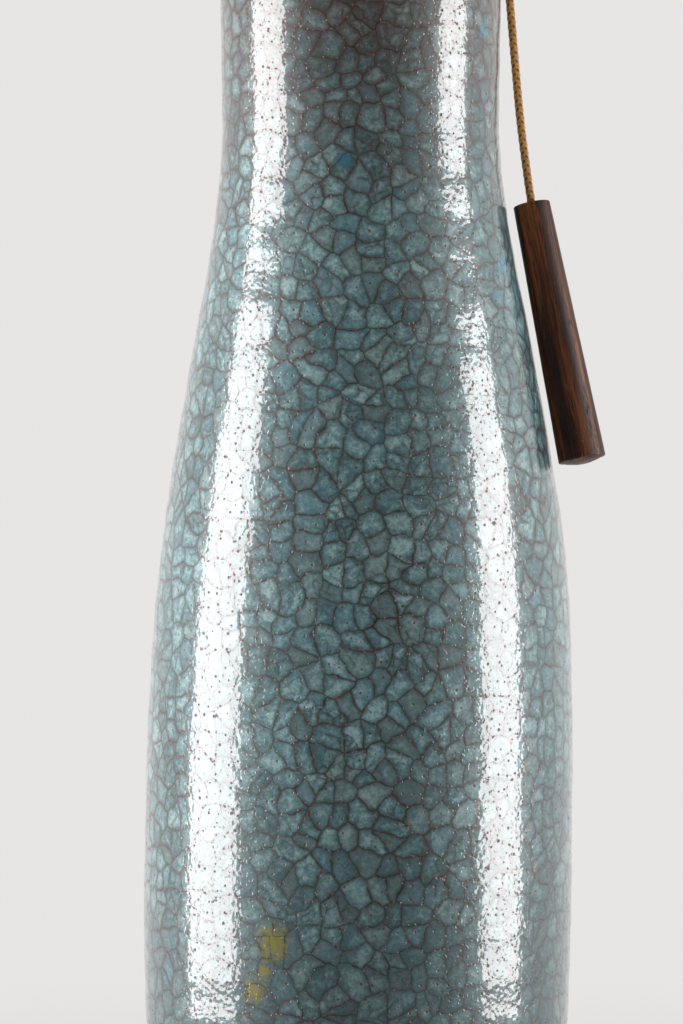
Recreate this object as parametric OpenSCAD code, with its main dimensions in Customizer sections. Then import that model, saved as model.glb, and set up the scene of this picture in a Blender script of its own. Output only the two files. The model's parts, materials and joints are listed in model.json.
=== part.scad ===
// Bottle-shaped ceramic table lamp with a pull-cord switch and a fabric shade.
// Sizes are in millimetres. The origin is the middle of the foot, on the table.
// +Z is up, the pull hangs on the +X side and the lead enters at the back, +Y.

/* [Ceramic body] */
// Height of the glazed body without its felt
body_h = 360; // [350:1:375]
// Widest diameter of the body
belly_d = 112; // [108:0.5:118]
// Height of the widest place above the table
belly_z = 112; // [95:1:130]
// Diameter at the waist under the lip
waist_d = 73.2; // [70:0.2:76]
// Height of the waist above the table
waist_z = 318; // [308:1:328]
// Diameter just under the rounded lip
lip_d = 75; // [73:0.2:78]
// Radius that rounds the lip over to the top
lip_round = 9; // [5:0.5:12]
// Diameter of the foot
foot_d = 90; // [88:0.5:96]
// Radius that rounds the edge of the foot
foot_round = 3; // [1:0.5:4]
// How late the shoulder turns in, as a power
shoulder_ease = 1.75; // [1.5:0.05:2]
// Thickness of the ceramic wall
wall = 6; // [4:0.5:7]
// Thickness of the ceramic at the top
top_t = 10; // [9:0.5:14]
// Diameter of the hole in the top
mouth_d = 30; // [27:0.5:34]

/* [Foot] */
// Thickness of the felt under the foot
felt_t = 2; // [1.5:0.5:3]
// Distance of the felt's edge inside the foot's edge
felt_inset = 1.5; // [0.5:0.5:2.5]
// Diameter of the steel base plate
plate_d = 78; // [72:0.5:79]
// Thickness of the base plate
plate_t = 3; // [2:0.5:5]
// Height of the ledge that the base plate is drawn up against
ledge_z = 15; // [14:0.5:18]
// Width of that ledge
ledge_w = 3; // [2:0.5:5]
// Thickness of the ledge
ledge_t = 7; // [5:0.5:9]

/* [Rod and clamp] */
// Outer diameter of the threaded rod
rod_d = 10; // [9:0.2:12]
// Bore of the threaded rod, for the inner leads
rod_bore = 7.2; // [6.4:0.2:7.6]
// Width of the clamp nuts across their flats
nut_w = 14; // [14:0.5:15]
// Height of the clamp nuts
nut_h = 5; // [4:0.5:6]
// Outer diameter of the lower washer
washer_d = 24; // [20:0.5:30]
// Thickness of the washers
washer_t = 1.6; // [1:0.2:2]
// Diameter of the hole at the rod's side where the leads go in
rod_side_hole = 6.4; // [6:0.1:6.6]
// Height of that hole
rod_side_z = 25; // [24:0.5:27]

/* [Lead inlet] */
// Height of the lead inlet above the table
inlet_z = 34; // [32:0.5:40]
// Outer diameter of the bush in the ceramic
bush_d = 10; // [9:0.5:12]
// Bore of the bush, for the mains lead
bush_bore = 6.6; // [6:0.1:7]
// Diameter of the bush's outer flange
bush_flange_d = 15; // [13:0.5:18]
// Thickness of the bush's outer flange
bush_flange_t = 2.2; // [1.5:0.1:3]

/* [Terminal block] */
// Length of the terminal block across the lamp
block_w = 22; // [20:0.5:26]
// Depth of the terminal block
block_d = 12; // [10:0.5:13]
// Height of the terminal block
block_h = 13; // [12:0.5:15]
// Distance from the lamp's axis to the block's front
block_y = 14; // [14:0.5:16]
// Distance between the two ways of the block
block_pitch = 9; // [8:0.5:10]
// Diameter of a terminal screw
block_screw_d = 3.6; // [3:0.1:4]

/* [Wooden cap and neck] */
// Thickness of the gasket under the cap
gasket_t = 1; // [0.5:0.1:2]
// Diameter of the turned wooden cap
cap_d = 50; // [46:0.5:54]
// Thickness of the wooden cap
cap_h = 10; // [8:0.5:12]
// Radius on the cap's upper edge
cap_round = 3.5; // [1:0.5:5]
// Depth of the cap's spigot in the mouth
spigot_h = 8; // [5:0.5:9]
// Outer diameter of the brass neck tube
neck_d = 20; // [19.4:0.2:22]
// Wall of the brass neck tube
neck_wall = 1.4; // [1:0.1:1.6]
// Height of the brass neck tube
neck_h = 22; // [20:0.5:26]

/* [Lampholder] */
// Height of the lampholder's lower cup
cup_h = 17; // [14:0.5:20]
// Diameter of the lampholder
holder_d = 38; // [37:0.5:40]
// Wall of the lampholder
holder_wall = 2.5; // [2:0.1:3]
// Thickness of the switch housing's floor
floor_t = 7; // [5:0.5:8]
// Height of the switch housing
housing_h = 42; // [41.6:0.1:42.4]
// Diameter of the flange that carries the shade
flange_d = 46; // [44:0.5:48]
// Thickness of that flange
flange_t = 2; // [1.6:0.1:2.4]
// Height of the outer shell above the flange
shell_h = 38; // [34:0.5:42]
// Diameter of the outer shell
shell_d = 40; // [39:0.5:41]
// Wall of the outer shell
shell_wall = 2.6; // [2:0.1:3]
// Thickness of the steatite insulator
insulator_t = 12; // [10:0.5:13]
// Height of the insulator's seat under the flange's top
insulator_drop = 7; // [5:0.5:9]
// Diameter of the shade ring
ring_d = 50; // [47:0.5:54]
// Height of the shade ring
ring_h = 9; // [7:0.5:12]

/* [Pull switch] */
// Distance from the lamp's axis to the pull cord's exit
switch_reach = 35; // [34.8:0.1:35.2]
// Outer width of the switch box
box_w = 18; // [17.4:0.2:20]
// Wall of the switch box beside the rotor
box_wall = 3; // [2.6:0.1:3.2]
// Height of the switch box
box_h = 22; // [22:0.1:22.4]
// Thickness of the switch box's floor
box_floor = 2; // [1.6:0.1:2.2]
// Thickness of the switch box's roof
box_roof = 3; // [2:0.1:3]
// Thickness of the cover on the end of the switch box
cover_t = 2; // [1.6:0.1:3]
// Travel of the pull
pull_travel = 8; // [6:0.5:8]
// Height of the slider's block
slider_h = 4; // [3:0.2:4.4]
// Distance from the slider's block to the roof
slider_drop = 2; // [1.6:0.1:2.4]
// Radius of the slider's tail
tail_r = 0.9; // [0.7:0.05:1.1]
// Radius of the ratchet rotor
rotor_r = 5; // [4.4:0.1:5]
// Radius of the rotor's trunnions
trunnion_r = 1.2; // [0.9:0.1:1.5]
// Turns of the return spring
spring_turns = 4; // [3:1:5]
// Mean radius of the return spring
spring_r = 2.2; // [1.9:0.1:2.6]
// Radius of the spring's wire
spring_wire_r = 0.3; // [0.2:0.05:0.35]

/* [Pull cord] */
// Radius of the wire of the eyes and the link
eye_wire_r = 0.6; // [0.45:0.05:0.65]
// Radius of the two eyes
eye_r = 2; // [1.9:0.05:2.2]
// Radius of the link between the eyes
link_r = 3; // [2.9:0.1:3.6]
// Distance from the switch box down to the middle of the upper eye
eye_drop = 4; // [3.6:0.1:5]
// Radius of the pull cord
cord_r = 1.1; // [0.9:0.05:1.2]
// Radius of the ferrule on the cord's upper end
ferrule_r = 1.8; // [1.6:0.1:2.4]
// Length of the ferrule's barrel
ferrule_h = 6; // [5:0.5:8]

/* [Wooden pull] */
// Diameter of the pull at its top
pull_top_d = 9.7; // [8:0.1:10.5]
// Diameter of the pull at its bottom
pull_low_d = 12.5; // [11:0.1:13.5]
// Height of the pull's top above the table
pull_top_z = 296; // [290:1:300]
// Height that the pull spans
pull_drop = 67.6; // [60:0.5:74]
// Clear distance from the pull's top to the body
pull_top_gap = 2.1; // [1.6:0.1:4]
// Clear distance from the pull's bottom to the body
pull_low_gap = 1.6; // [1.2:0.1:4]
// How far the pull's top stands behind the lamp's middle, and its bottom in front
pull_lean = 3.5; // [0:0.5:5]
// Bevel on the pull's edges
pull_bevel = 0.5; // [0.2:0.1:1]
// Radius of the blind hole for the cord
pull_hole_r = 2; // [1.7:0.1:2.4]
// Depth of the blind hole
pull_hole_h = 14; // [10:1:20]

/* [Bulb] */
// Diameter of the bulb's glass
bulb_d = 60; // [50:1:64]
// Distance from the bulb's lower contact to the middle of its glass
bulb_rise = 75; // [70:1:80]
// Diameter of the bulb's brass cap
bulb_cap_d = 26.1; // [25.8:0.1:26.2]
// Height of the bulb's brass cap
bulb_cap_h = 22; // [20:0.5:24]
// Thickness of the bulb's glass
glass_t = 1; // [0.8:0.1:1.5]

/* [Shade] */
// Diameter of the shade at its lower rim
shade_low_d = 330; // [300:5:340]
// Diameter of the shade at its upper rim
shade_top_d = 270; // [240:5:290]
// Height of the shade
shade_h = 220; // [200:5:240]
// Height of the shade's lower rim above the table
shade_z = 405; // [403:1:410]
// Thickness of the stiff lining
liner_t = 0.6; // [0.5:0.1:1]
// Thickness of the shade's fabric
fabric_t = 0.6; // [0.4:0.1:1]
// Height of the bound edges
trim_h = 9; // [6:0.5:14]
// Thickness of the bound edges
trim_t = 0.5; // [0.4:0.1:0.8]
// Radius of the shade's ring wires
wire_r = 1.5; // [1.2:0.1:2]
// Radius of the carrier's spokes
spoke_r = 0.85; // [0.7:0.05:0.95]
// Number of spokes in the carrier
spokes = 3; // [3:1:4]
// Distance from the axis to the bend of a spoke
spoke_bend = 50; // [48:0.5:60]
// Thickness of the carrier's hub
hub_t = 2; // [1.5:0.1:3]
// Outer diameter of the carrier's hub
hub_d = 46; // [44:0.5:48]

/* [Hidden] */

$fn = 96;
// Clearances: face to face, a hand fit, a running fit and a soft part
touch = 0.05;
fit = 0.1;
run = 0.06;
slack = 0.4;
// A cut runs this far past the face that it opens
past = 1;

// Colours, as the photograph shows them or as such parts usually are
glaze = "#7fb0b4";
wood = "#4a281c";
brass = "#b8923f";
steel = "#9a9c9e";
bakelite = "#2b1c15";
steatite = "#e8e2d4";
cloth = "#ece4d2";
cord_colour = "#c49a5c";

// Heights of the stack, from the table up
lip_z = felt_t + body_h;
cap_z = lip_z + gasket_t;
cap_top_z = cap_z + cap_h;
neck_z = cap_top_z + washer_t;
cup_z = neck_z + neck_h;
housing_z = cup_z + cup_h;
flange_z = housing_z + housing_h;
shell_z = flange_z;
insulator_z = flange_z - insulator_drop;
box_top_z = flange_z - flange_t;
box_z = box_top_z - box_h;
rod_low_z = ledge_z - plate_t - washer_t - nut_h - 1;
rod_top_z = housing_z + floor_t + 2;
bulb_z = insulator_z + insulator_t + 1;
bulb_mid_z = bulb_z + bulb_rise;

// Radius of the glazed body at a height above the table
function ease(t) = (1 + cos(180 * pow(t, shoulder_ease))) / 2;
function foot_part(z) = (belly_z - z) / (belly_z - felt_t);
function shoulder_part(z) = (z - belly_z) / (waist_z - belly_z);
function neck_part(z) = (z - waist_z) / (lip_z - waist_z);
function body_r(z) =
    z < belly_z ? belly_d / 2 - (belly_d - foot_d) / 2 * pow(foot_part(z), 2)
    : z < waist_z ? waist_d / 2 + (belly_d - waist_d) / 2 * ease(shoulder_part(z))
    : waist_d / 2 + (lip_d - waist_d) / 2 * pow(neck_part(z), 2);

// Straight, turned and swept helpers
module tube(d_out, d_in, h) {
    difference() {
        cylinder(d = d_out, h = h);
        translate([0, 0, -past]) cylinder(d = d_in, h = h + 2 * past);
    }
}

module hex_nut(width, bore, h) {
    difference() {
        cylinder(r = width / 2 / cos(30), h = h, $fn = 6);
        translate([0, 0, -past]) cylinder(d = bore, h = h + 2 * past);
    }
}

module ring(radius, wire) {
    rotate_extrude() translate([radius, 0]) circle(r = wire, $fn = 24);
}

module between(p, q) {
    v = q - p;
    translate(p) rotate([0, acos(v[2] / norm(v)), atan2(v[1], v[0])]) children();
}

function unit(v) = v / norm(v);
function tangent(p, i) = unit(p[min(i + 1, len(p) - 1)] - p[max(i - 1, 0)]);

// A closed tube of a radius along a path, with its rings turned about one reference
module sweep(path, radius, sides, ref) {
    count = len(path);
    points = [for (i = [0 : count - 1])
        let (t = tangent(path, i), u = unit(cross(ref, t)), v = cross(t, u))
        for (k = [0 : sides - 1])
            path[i] + radius * (cos(360 * k / sides) * u + sin(360 * k / sides) * v)];
    walls = [for (i = [0 : count - 2])
        for (k = [0 : sides - 1])
            let (a = i * sides + k, b = i * sides + (k + 1) % sides)
            for (half = [0, 1])
                half == 0 ? [a, b + sides, b] : [a, a + sides, b + sides]];
    top = (count - 1) * sides;
    low_end = [for (k = [1 : sides - 2]) [0, k, k + 1]];
    top_end = [for (k = [1 : sides - 2]) [top, top + k + 1, top + k]];
    polyhedron(points = points, faces = concat(walls, low_end, top_end));
}

// A smooth curve through the points of a route, with some steps in each span
function spline_point(a, b, c, d, t) =
    0.5 * ((2 * b) + (c - a) * t + (2 * a - 5 * b + 4 * c - d) * t * t
    + (3 * b - a - 3 * c + d) * t * t * t);
function smooth(p, steps) = concat(
    [for (i = [0 : len(p) - 2])
        for (s = [0 : steps - 1])
            spline_point(p[max(i - 1, 0)], p[i], p[i + 1], p[min(i + 2, len(p) - 1)], s / steps)],
    [p[len(p) - 1]]);

// Route of the pull cord, from inside its ferrule to inside the wooden pull
cord_route = [[35, 0, 416], [35, 0, 411], [35.6, 0.1, 400], [36.6, 0.4, 385], [37.7, 1, 370],
    [38.6, 1.5, 358], [39.4, 1.9, 348], [40.6, 2.4, 334], [42.1, 2.9, 318], [43.9, 3.3, 304],
    [45.1, 3.5, 296], [45.5, 3.3, 293.6]];
cord_steps = 3;

// Foot
module foot_felt() {
    color("#4b4a44") cylinder(d = foot_d - 2 * felt_inset, h = felt_t);
}

recess_r = plate_d / 2 + slack;
ledge_r = plate_d / 2 - ledge_w;

// Outline of the ceramic, from the foot's inner edge out, up, over the lip and down inside
body_step = 6;
arc_steps = 8;
outer_from = felt_t + foot_round;
outer_to = lip_z - lip_round;
outer_count = ceil((outer_to - outer_from) / body_step);
inner_from = ledge_z + ledge_t + 8;
inner_to = lip_z - top_t;
inner_count = ceil((inner_to - inner_from) / body_step);
mouth_round = 1.5;

foot_arc = [for (i = [0 : arc_steps - 1])
    let (a = -90 + 90 * i / arc_steps)
    [body_r(outer_from) - foot_round + foot_round * cos(a), outer_from + foot_round * sin(a)]];
outer_line = [for (i = [0 : outer_count])
    let (z = outer_from + (outer_to - outer_from) * i / outer_count)
    [body_r(z), z]];
lip_arc = [for (i = [1 : arc_steps])
    let (a = 90 * i / arc_steps)
    [body_r(outer_to) - lip_round + lip_round * cos(a), outer_to + lip_round * sin(a)]];
mouth_arc = [for (i = [0 : arc_steps])
    let (a = 90 + 90 * i / arc_steps)
    [mouth_d / 2 + mouth_round + mouth_round * cos(a),
        lip_z - mouth_round + mouth_round * sin(a)]];
inner_line = [for (i = [0 : inner_count])
    let (z = inner_to - (inner_to - inner_from) * i / inner_count)
    [body_r(z) - wall, z]];
ledge_line = [[ledge_r, ledge_z + ledge_t], [ledge_r, ledge_z], [recess_r, ledge_z],
    [recess_r, felt_t]];

module ceramic_body() {
    color(glaze) difference() {
        rotate_extrude() polygon(concat(foot_arc, outer_line, lip_arc, mouth_arc,
            [[mouth_d / 2, inner_to]], inner_line, ledge_line));
        translate([0, 0, inlet_z]) rotate([-90, 0, 0]) cylinder(d = bush_d + 2 * fit, h = belly_d);
    }
}

module base_plate() {
    color(steel) translate([0, 0, ledge_z - plate_t]) tube(plate_d, rod_d + 2 * slack, plate_t);
}

module lower_washer() {
    color(steel) translate([0, 0, ledge_z - plate_t - washer_t])
        tube(washer_d, rod_d + slack, washer_t);
}

module lower_nut() {
    color(steel) translate([0, 0, ledge_z - plate_t - washer_t - nut_h])
        hex_nut(nut_w, rod_d + fit, nut_h);
}

module threaded_rod() {
    color(steel) difference() {
        translate([0, 0, rod_low_z]) tube(rod_d, rod_bore, rod_top_z - rod_low_z);
        translate([0, 0, rod_side_z]) rotate([-90, 0, 0]) cylinder(d = rod_side_hole, h = rod_d);
    }
}

// The bush's flange clears the highest place of the wall that it covers
bush_flange_y = body_r(inlet_z + bush_flange_d / 2) + 0.3;
bush_inner_y = body_r(inlet_z) - wall - 3;

module lead_bush() {
    color("#6b5a3a") translate([0, 0, inlet_z]) rotate([-90, 0, 0]) difference() {
        union() {
            translate([0, 0, bush_inner_y])
                cylinder(d = bush_d, h = bush_flange_y + bush_flange_t - bush_inner_y);
            translate([0, 0, bush_flange_y]) cylinder(d = bush_flange_d, h = bush_flange_t);
        }
        cylinder(d = bush_bore, h = belly_d);
    }
}

// The block stands on the base plate, with two ways side by side
block_way_d = 3;
block_way_z = ledge_z + 7;

module terminal_block() {
    color(steatite) difference() {
        translate([-block_w / 2, block_y, ledge_z]) cube([block_w, block_d, block_h]);
        for (side = [-1, 1]) {
            translate([side * block_pitch / 2, block_y - past, block_way_z]) rotate([-90, 0, 0])
                cylinder(d = block_way_d, h = block_d + 2 * past);
            for (row = [0.27, 0.73])
                translate([side * block_pitch / 2, block_y + row * block_d, block_way_z])
                    cylinder(d = block_screw_d + 2 * fit, h = block_h);
        }
    }
}

module terminal_screws() {
    color(brass) for (side = [-1, 1]) for (row = [0.27, 0.73])
        translate([side * block_pitch / 2, block_y + row * block_d, block_way_z + block_way_d / 2])
            difference() {
                cylinder(d = block_screw_d, h = 4);
                translate([-block_screw_d, -0.4, 3.2]) cube([2 * block_screw_d, 0.8, 2]);
            }
}

// Each inner lead runs from the block through the rod's side hole and up to its post
lead_r = 0.9;
lead_x = 1.3;
post_x = 9;
post_r = 2.2;
post_z = rod_top_z + 7;

function lead_route(side) = let (way = block_pitch / 2, up = rod_side_z) [
    [side * way, block_y + 2, block_way_z],
    [side * way, block_y - 1, block_way_z],
    [side * (way - 0.8), block_y - 4, block_way_z + 0.3],
    [side * 2.2, 7, up - 1],
    [side * lead_x, 4, up],
    [side * lead_x, 1.4, up + 3.5],
    [side * lead_x, 0, up + 10],
    [side * lead_x, 0, rod_top_z - 3],
    [side * (lead_x + 0.7), 0, rod_top_z + 0.8],
    [side * post_x / 2, 0, rod_top_z + 3],
    [side * (post_x - 1.2), 0, rod_top_z + 4.4],
    [side * post_x, 0, rod_top_z + 5.8],
    [side * post_x, 0, post_z - touch]];

module live_wire() {
    color("#7a4a2a") sweep(lead_route(1), lead_r, 8, [1, 0, 0.01]);
}

module neutral_wire() {
    color("#3c5f86") sweep(lead_route(-1), lead_r, 8, [1, 0, -0.01]);
}

// Wooden cap and brass neck
module cap_gasket() {
    color("#8a7a62") translate([0, 0, lip_z])
        tube(2 * (body_r(outer_to) - lip_round) - 4, mouth_d + 2 * mouth_round, gasket_t);
}

module wooden_cap() {
    arc = [for (i = [0 : arc_steps])
        let (a = 90 * i / arc_steps)
        [cap_d / 2 - cap_round + cap_round * cos(a), cap_h - cap_round + cap_round * sin(a)]];
    spigot_r = mouth_d / 2 - slack;
    bore_r = rod_d / 2 + fit;
    color(wood) translate([0, 0, cap_z]) rotate_extrude() polygon(concat(
        [[bore_r, -gasket_t - spigot_h], [spigot_r, -gasket_t - spigot_h], [spigot_r, 0],
            [cap_d / 2 - 0.6, 0], [cap_d / 2, 0.6]],
        arc, [[bore_r, cap_h]]));
}

module cap_washer() {
    color(brass) translate([0, 0, cap_top_z]) tube(neck_d + 5, rod_d + 2 * fit, washer_t);
}

module cap_nut() {
    color(brass) translate([0, 0, neck_z]) hex_nut(nut_w, rod_d + fit, nut_h);
}

module neck_tube() {
    color(brass) translate([0, 0, neck_z]) tube(neck_d, neck_d - 2 * neck_wall, neck_h);
}

// Lampholder
holder_r = holder_d / 2;
chamber_r = holder_r - holder_wall;

module holder_cup() {
    low_r = neck_d / 2 + 1.5;
    inner_r = low_r - holder_wall;
    color(bakelite) translate([0, 0, cup_z]) rotate_extrude() polygon([
        [rod_d / 2 + fit, 0], [low_r, 0], [low_r + 1, 2], [holder_r - 1.5, cup_h - 3],
        [holder_r, cup_h - 1.5], [holder_r, cup_h], [holder_r - holder_wall, cup_h],
        [inner_r, 4], [rod_d / 2 + fit, 4]]);
}

cavity_end = switch_reach + 4;
cavity_y = box_w / 2 - box_wall;
cavity_z = box_z + box_floor;
cavity_top_z = box_top_z - box_roof;
trunnion_end = cavity_y + box_wall / 2;
// A quarter turn of the rotor takes up the whole travel of the pull
pitch_r = 8 / (PI / 2);
slider_face = switch_reach - 3.8;
rotor_x = slider_face - 0.6 - pitch_r;
rotor_z = cavity_top_z - 8;
cover_screw_r = 0.9;
cover_screw_z = 1.1;

module box_screw_places() {
    for (side = [-1, 1])
        translate([cavity_end, side * (box_w / 2 - box_wall / 2), box_top_z - box_roof / 2])
            rotate([0, 90, 0]) children();
}

module switch_housing() {
    color(bakelite) difference() {
        union() {
            translate([0, 0, housing_z]) cylinder(r = holder_r, h = housing_h);
            translate([0, 0, flange_z - flange_t]) cylinder(d = flange_d, h = flange_t);
            translate([0, -box_w / 2, box_z]) cube([cavity_end, box_w, box_h]);
        }
        translate([0, 0, housing_z - past]) cylinder(d = rod_d + 2 * fit, h = housing_h);
        translate([0, 0, housing_z + floor_t]) cylinder(r = chamber_r, h = housing_h);
        translate([0, -cavity_y, cavity_z])
            cube([cavity_end + past, 2 * cavity_y, cavity_top_z - cavity_z]);
        translate([switch_reach, 0, box_z - past]) cylinder(r = tail_r + slack, h = box_floor + 2 * past);
        translate([rotor_x, -trunnion_end - fit, rotor_z]) rotate([-90, 0, 0])
            cylinder(r = trunnion_r + run, h = 2 * (trunnion_end + fit));
        box_screw_places() translate([0, 0, -6]) cylinder(r = cover_screw_r + fit, h = 6 + past);
    }
}

module switch_cover() {
    color(bakelite) difference() {
        translate([cavity_end, -box_w / 2, box_z]) cube([cover_t, box_w, box_h]);
        box_screw_places() translate([0, 0, -past]) cylinder(r = cover_screw_r + fit, h = cover_t + 2 * past);
    }
}

module cover_screws() {
    color(brass) box_screw_places() {
        translate([0, 0, -5]) cylinder(r = cover_screw_r, h = 5 + cover_t + touch);
        difference() {
            translate([0, 0, cover_t + touch]) cylinder(r = 1.45, h = 0.9);
            translate([-2, -0.25, cover_t + touch + 0.4]) cube([4, 0.5, 1]);
        }
    }
}

// Two leaf contacts hang from the insulator and reach to the rotor's side
leaf_t = 0.8;
leaf_x = 14;
leaf_y = 3;

module switch_contacts() {
    color(brass) for (side = [-1, 1]) translate([0, side * leaf_y, 0]) {
        translate([leaf_x - leaf_t, -1.2, rotor_z - 1]) cube([leaf_t, 2.4, insulator_z - rotor_z + 1]);
        translate([leaf_x - leaf_t, -1.2, rotor_z - 1])
            cube([rotor_x - rotor_r - 0.2 - leaf_x + leaf_t, 2.4, leaf_t]);
    }
}

slider_z = cavity_top_z - slider_drop - slider_h;

// The return spring stands on the box's floor and holds the slider up
spring_gap = touch + spring_wire_r;
spring_low = cavity_z + spring_gap;
spring_len = slider_z - spring_gap - spring_low;
spring_rings = spring_turns * 10;
spring_path = [for (i = [0 : spring_rings])
    let (a = 360 * spring_turns * i / spring_rings)
    [switch_reach + spring_r * cos(a), spring_r * sin(a), spring_low + spring_len * i / spring_rings]];

module return_spring() {
    color(steel) sweep(spring_path, spring_wire_r, 6, [0, 0, 1]);
}

// Least clear distance between neighbouring turns of the spring at rest
echo(spring_least_gap = spring_len / spring_turns - 2 * spring_wire_r);

module socket_insulator() {
    color(steatite) difference() {
        translate([0, 0, insulator_z]) cylinder(r = chamber_r - fit, h = insulator_t);
        for (side = [-1, 1]) translate([side * post_x, 0, insulator_z - past])
            cylinder(r = 1.2 + fit, h = insulator_t + 2 * past);
    }
}

module socket_terminals() {
    color(brass) for (side = [-1, 1]) translate([side * post_x, 0, 0]) {
        translate([0, 0, post_z]) cylinder(r = post_r, h = insulator_z - post_z);
        translate([0, 0, insulator_z]) cylinder(r = 1.2, h = insulator_t - 0.5);
    }
}

seat_z = insulator_z + insulator_t;
screw_shell_r = bulb_cap_d / 2 + 0.25;

module centre_contact() {
    color(brass) translate([0, 0, seat_z]) {
        translate([-2.5, -6, 0]) cube([5, 12, 0.5]);
        cylinder(r = 2.4, h = 1 - touch);
    }
}

module screw_shell() {
    color(brass) translate([0, 0, seat_z])
        tube(2 * screw_shell_r + 1, 2 * screw_shell_r, bulb_cap_h);
}

shell_groove = 0.5;

module holder_shell() {
    color(bakelite) difference() {
        translate([0, 0, shell_z]) tube(shell_d, shell_d - 2 * shell_wall, shell_h);
        for (i = [0 : 3]) translate([0, 0, shell_z + hub_t + ring_h + 4 + 4 * i])
            tube(shell_d + 2, shell_d - 2 * shell_groove, 1.2);
    }
}

hub_z = flange_z + touch;
ring_z = hub_z + hub_t + touch;

module shade_ring() {
    grips = 24;
    color(bakelite) difference() {
        translate([0, 0, ring_z]) tube(ring_d, shell_d + 2 * fit, ring_h);
        for (i = [0 : grips - 1]) rotate(360 * i / grips)
            translate([ring_d / 2 + 0.7, 0, ring_z + 1.5]) cylinder(r = 1.4, h = ring_h);
    }
}

// Bulb
neck_low_r = bulb_cap_d / 2 + 0.6;
sphere_r = bulb_d / 2;

module bulb_outline(inset) {
    low = bulb_z + bulb_cap_h;
    side = [for (i = [0 : 20])
        let (a = -50 + 140 * i / 20)
        [(sphere_r - inset) * cos(a), bulb_mid_z + (sphere_r - inset) * sin(a)]];
    rotate_extrude() polygon(concat([[0, low + inset], [neck_low_r - inset, low + inset]],
        [[neck_low_r + 0.8 - inset, low + 8]], side));
}

module bulb_glass() {
    color("#f4efe2") difference() {
        bulb_outline(0);
        bulb_outline(glass_t);
    }
}

module bulb_cap() {
    pitch = 3.6;
    cap_r = bulb_cap_d / 2;
    color(brass) difference() {
        translate([0, 0, bulb_z + 1.5]) cylinder(r = cap_r, h = bulb_cap_h - 1.5 - touch);
        for (i = [0 : 3]) translate([0, 0, bulb_z + 4 + pitch * i])
            tube(2 * cap_r + 4, 2 * cap_r - 1.2, 1.4);
    }
}

module bulb_contact() {
    color("#2a2a2c") translate([0, 0, bulb_z + 1.5 - touch]) mirror([0, 0, 1])
        cylinder(r1 = 7, r2 = 4.5, h = 1.5 - 2 * touch);
}

stem_low = bulb_z + bulb_cap_h + glass_t + touch;
stem_h = 26;

module bulb_stem() {
    color("#e6e6e0") translate([0, 0, stem_low]) {
        cylinder(r1 = 9, r2 = 4, h = 10);
        translate([0, 0, 10]) cylinder(r1 = 4, r2 = 2, h = stem_h - 10);
    }
}

module bulb_filaments() {
    color("#e8b64a") for (i = [0 : 3]) rotate(45 + 90 * i)
        between([4.3, 0, stem_low + stem_h - 8], [13, 0, stem_low + stem_h + 26])
            cylinder(r = 0.9, h = 35);
}

// Moving switch parts
module switch_rotor() {
    color("#5a3a20") translate([rotor_x, 0, rotor_z]) rotate([-90, 0, 0]) {
        intersection() {
            translate([0, 0, -3]) cylinder(r = rotor_r, h = 6);
            cube([2 * rotor_r - 2, 2 * rotor_r - 2, 8], center = true);
        }
        translate([0, 0, -trunnion_end]) cylinder(r = trunnion_r, h = 2 * trunnion_end);
    }
}

module rotor_pads() {
    pad = 0.5;
    color(brass) for (side = [-1, 1])
        translate([rotor_x + side * (rotor_r - 1 + pad / 2), 0, rotor_z])
            cube([pad, 4.8, 3.6], center = true);
}

// The slider's block runs in the switch box and its tail ends in the upper eye
eye_z = box_z - eye_drop;

module switch_slider() {
    half_x = cavity_end - fit * 2 - slider_face;
    color(brass) {
        translate([slider_face, -cavity_y + fit, slider_z])
            cube([half_x, 2 * (cavity_y - fit), slider_h]);
        translate([slider_face - 0.45, -1.5, slider_z + 1]) cube([0.9, 3, slider_h - 2]);
        translate([switch_reach, 0, eye_z + eye_r - 0.2])
            cylinder(r = tail_r, h = slider_z - eye_z - eye_r + 0.4);
        translate([switch_reach, 0, eye_z]) rotate([0, 90, 0]) ring(eye_r, eye_wire_r);
    }
}

// The link hangs in the upper eye, and the ferrule's eye hangs in the link
hook = 2 * eye_wire_r + run;
link_axis_z = eye_z - eye_r;
link_z = link_axis_z + hook - link_r;
side_axis_z = link_z - link_r;
ferrule_eye_z = side_axis_z + hook - eye_r;
ferrule_top_z = ferrule_eye_z - eye_r;

module link_ring() {
    color(brass) translate([switch_reach, 0, link_z]) rotate([90, 0, 0]) ring(link_r, eye_wire_r);
}

module cord_ferrule() {
    color(brass) translate([switch_reach, 0, 0]) {
        translate([0, 0, ferrule_eye_z]) rotate([0, 90, 0]) ring(eye_r, eye_wire_r);
        difference() {
            translate([0, 0, ferrule_top_z - ferrule_h]) cylinder(r = ferrule_r, h = ferrule_h);
            translate([0, 0, ferrule_top_z - ferrule_h - past])
                cylinder(r = cord_r + touch, h = ferrule_h - 1.8 + past);
        }
    }
}

module pull_cord() {
    color(cord_colour) sweep(smooth(cord_route, cord_steps), cord_r, 8, [0, 1, 0]);
}

// The wooden pull lies along the shoulder of the body
pull_low_z = pull_top_z - pull_drop;
pull_top = [body_r(pull_top_z) + pull_top_d / 2 + pull_top_gap, pull_lean, pull_top_z];
pull_low = [body_r(pull_low_z) + pull_low_d / 2 + pull_low_gap, -pull_lean, pull_low_z];
pull_len = norm(pull_top - pull_low);

module pull_handle() {
    low_r = pull_low_d / 2;
    top_r = pull_top_d / 2;
    mouth = 0.8;
    color(wood) between(pull_low, pull_top) rotate_extrude() polygon([
        [0, 0], [low_r - pull_bevel, 0], [low_r, pull_bevel],
        [top_r, pull_len - pull_bevel], [top_r - pull_bevel, pull_len],
        [pull_hole_r + mouth, pull_len], [pull_hole_r, pull_len - mouth],
        [pull_hole_r, pull_len - pull_hole_h], [0, pull_len - pull_hole_h]]);
}

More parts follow.
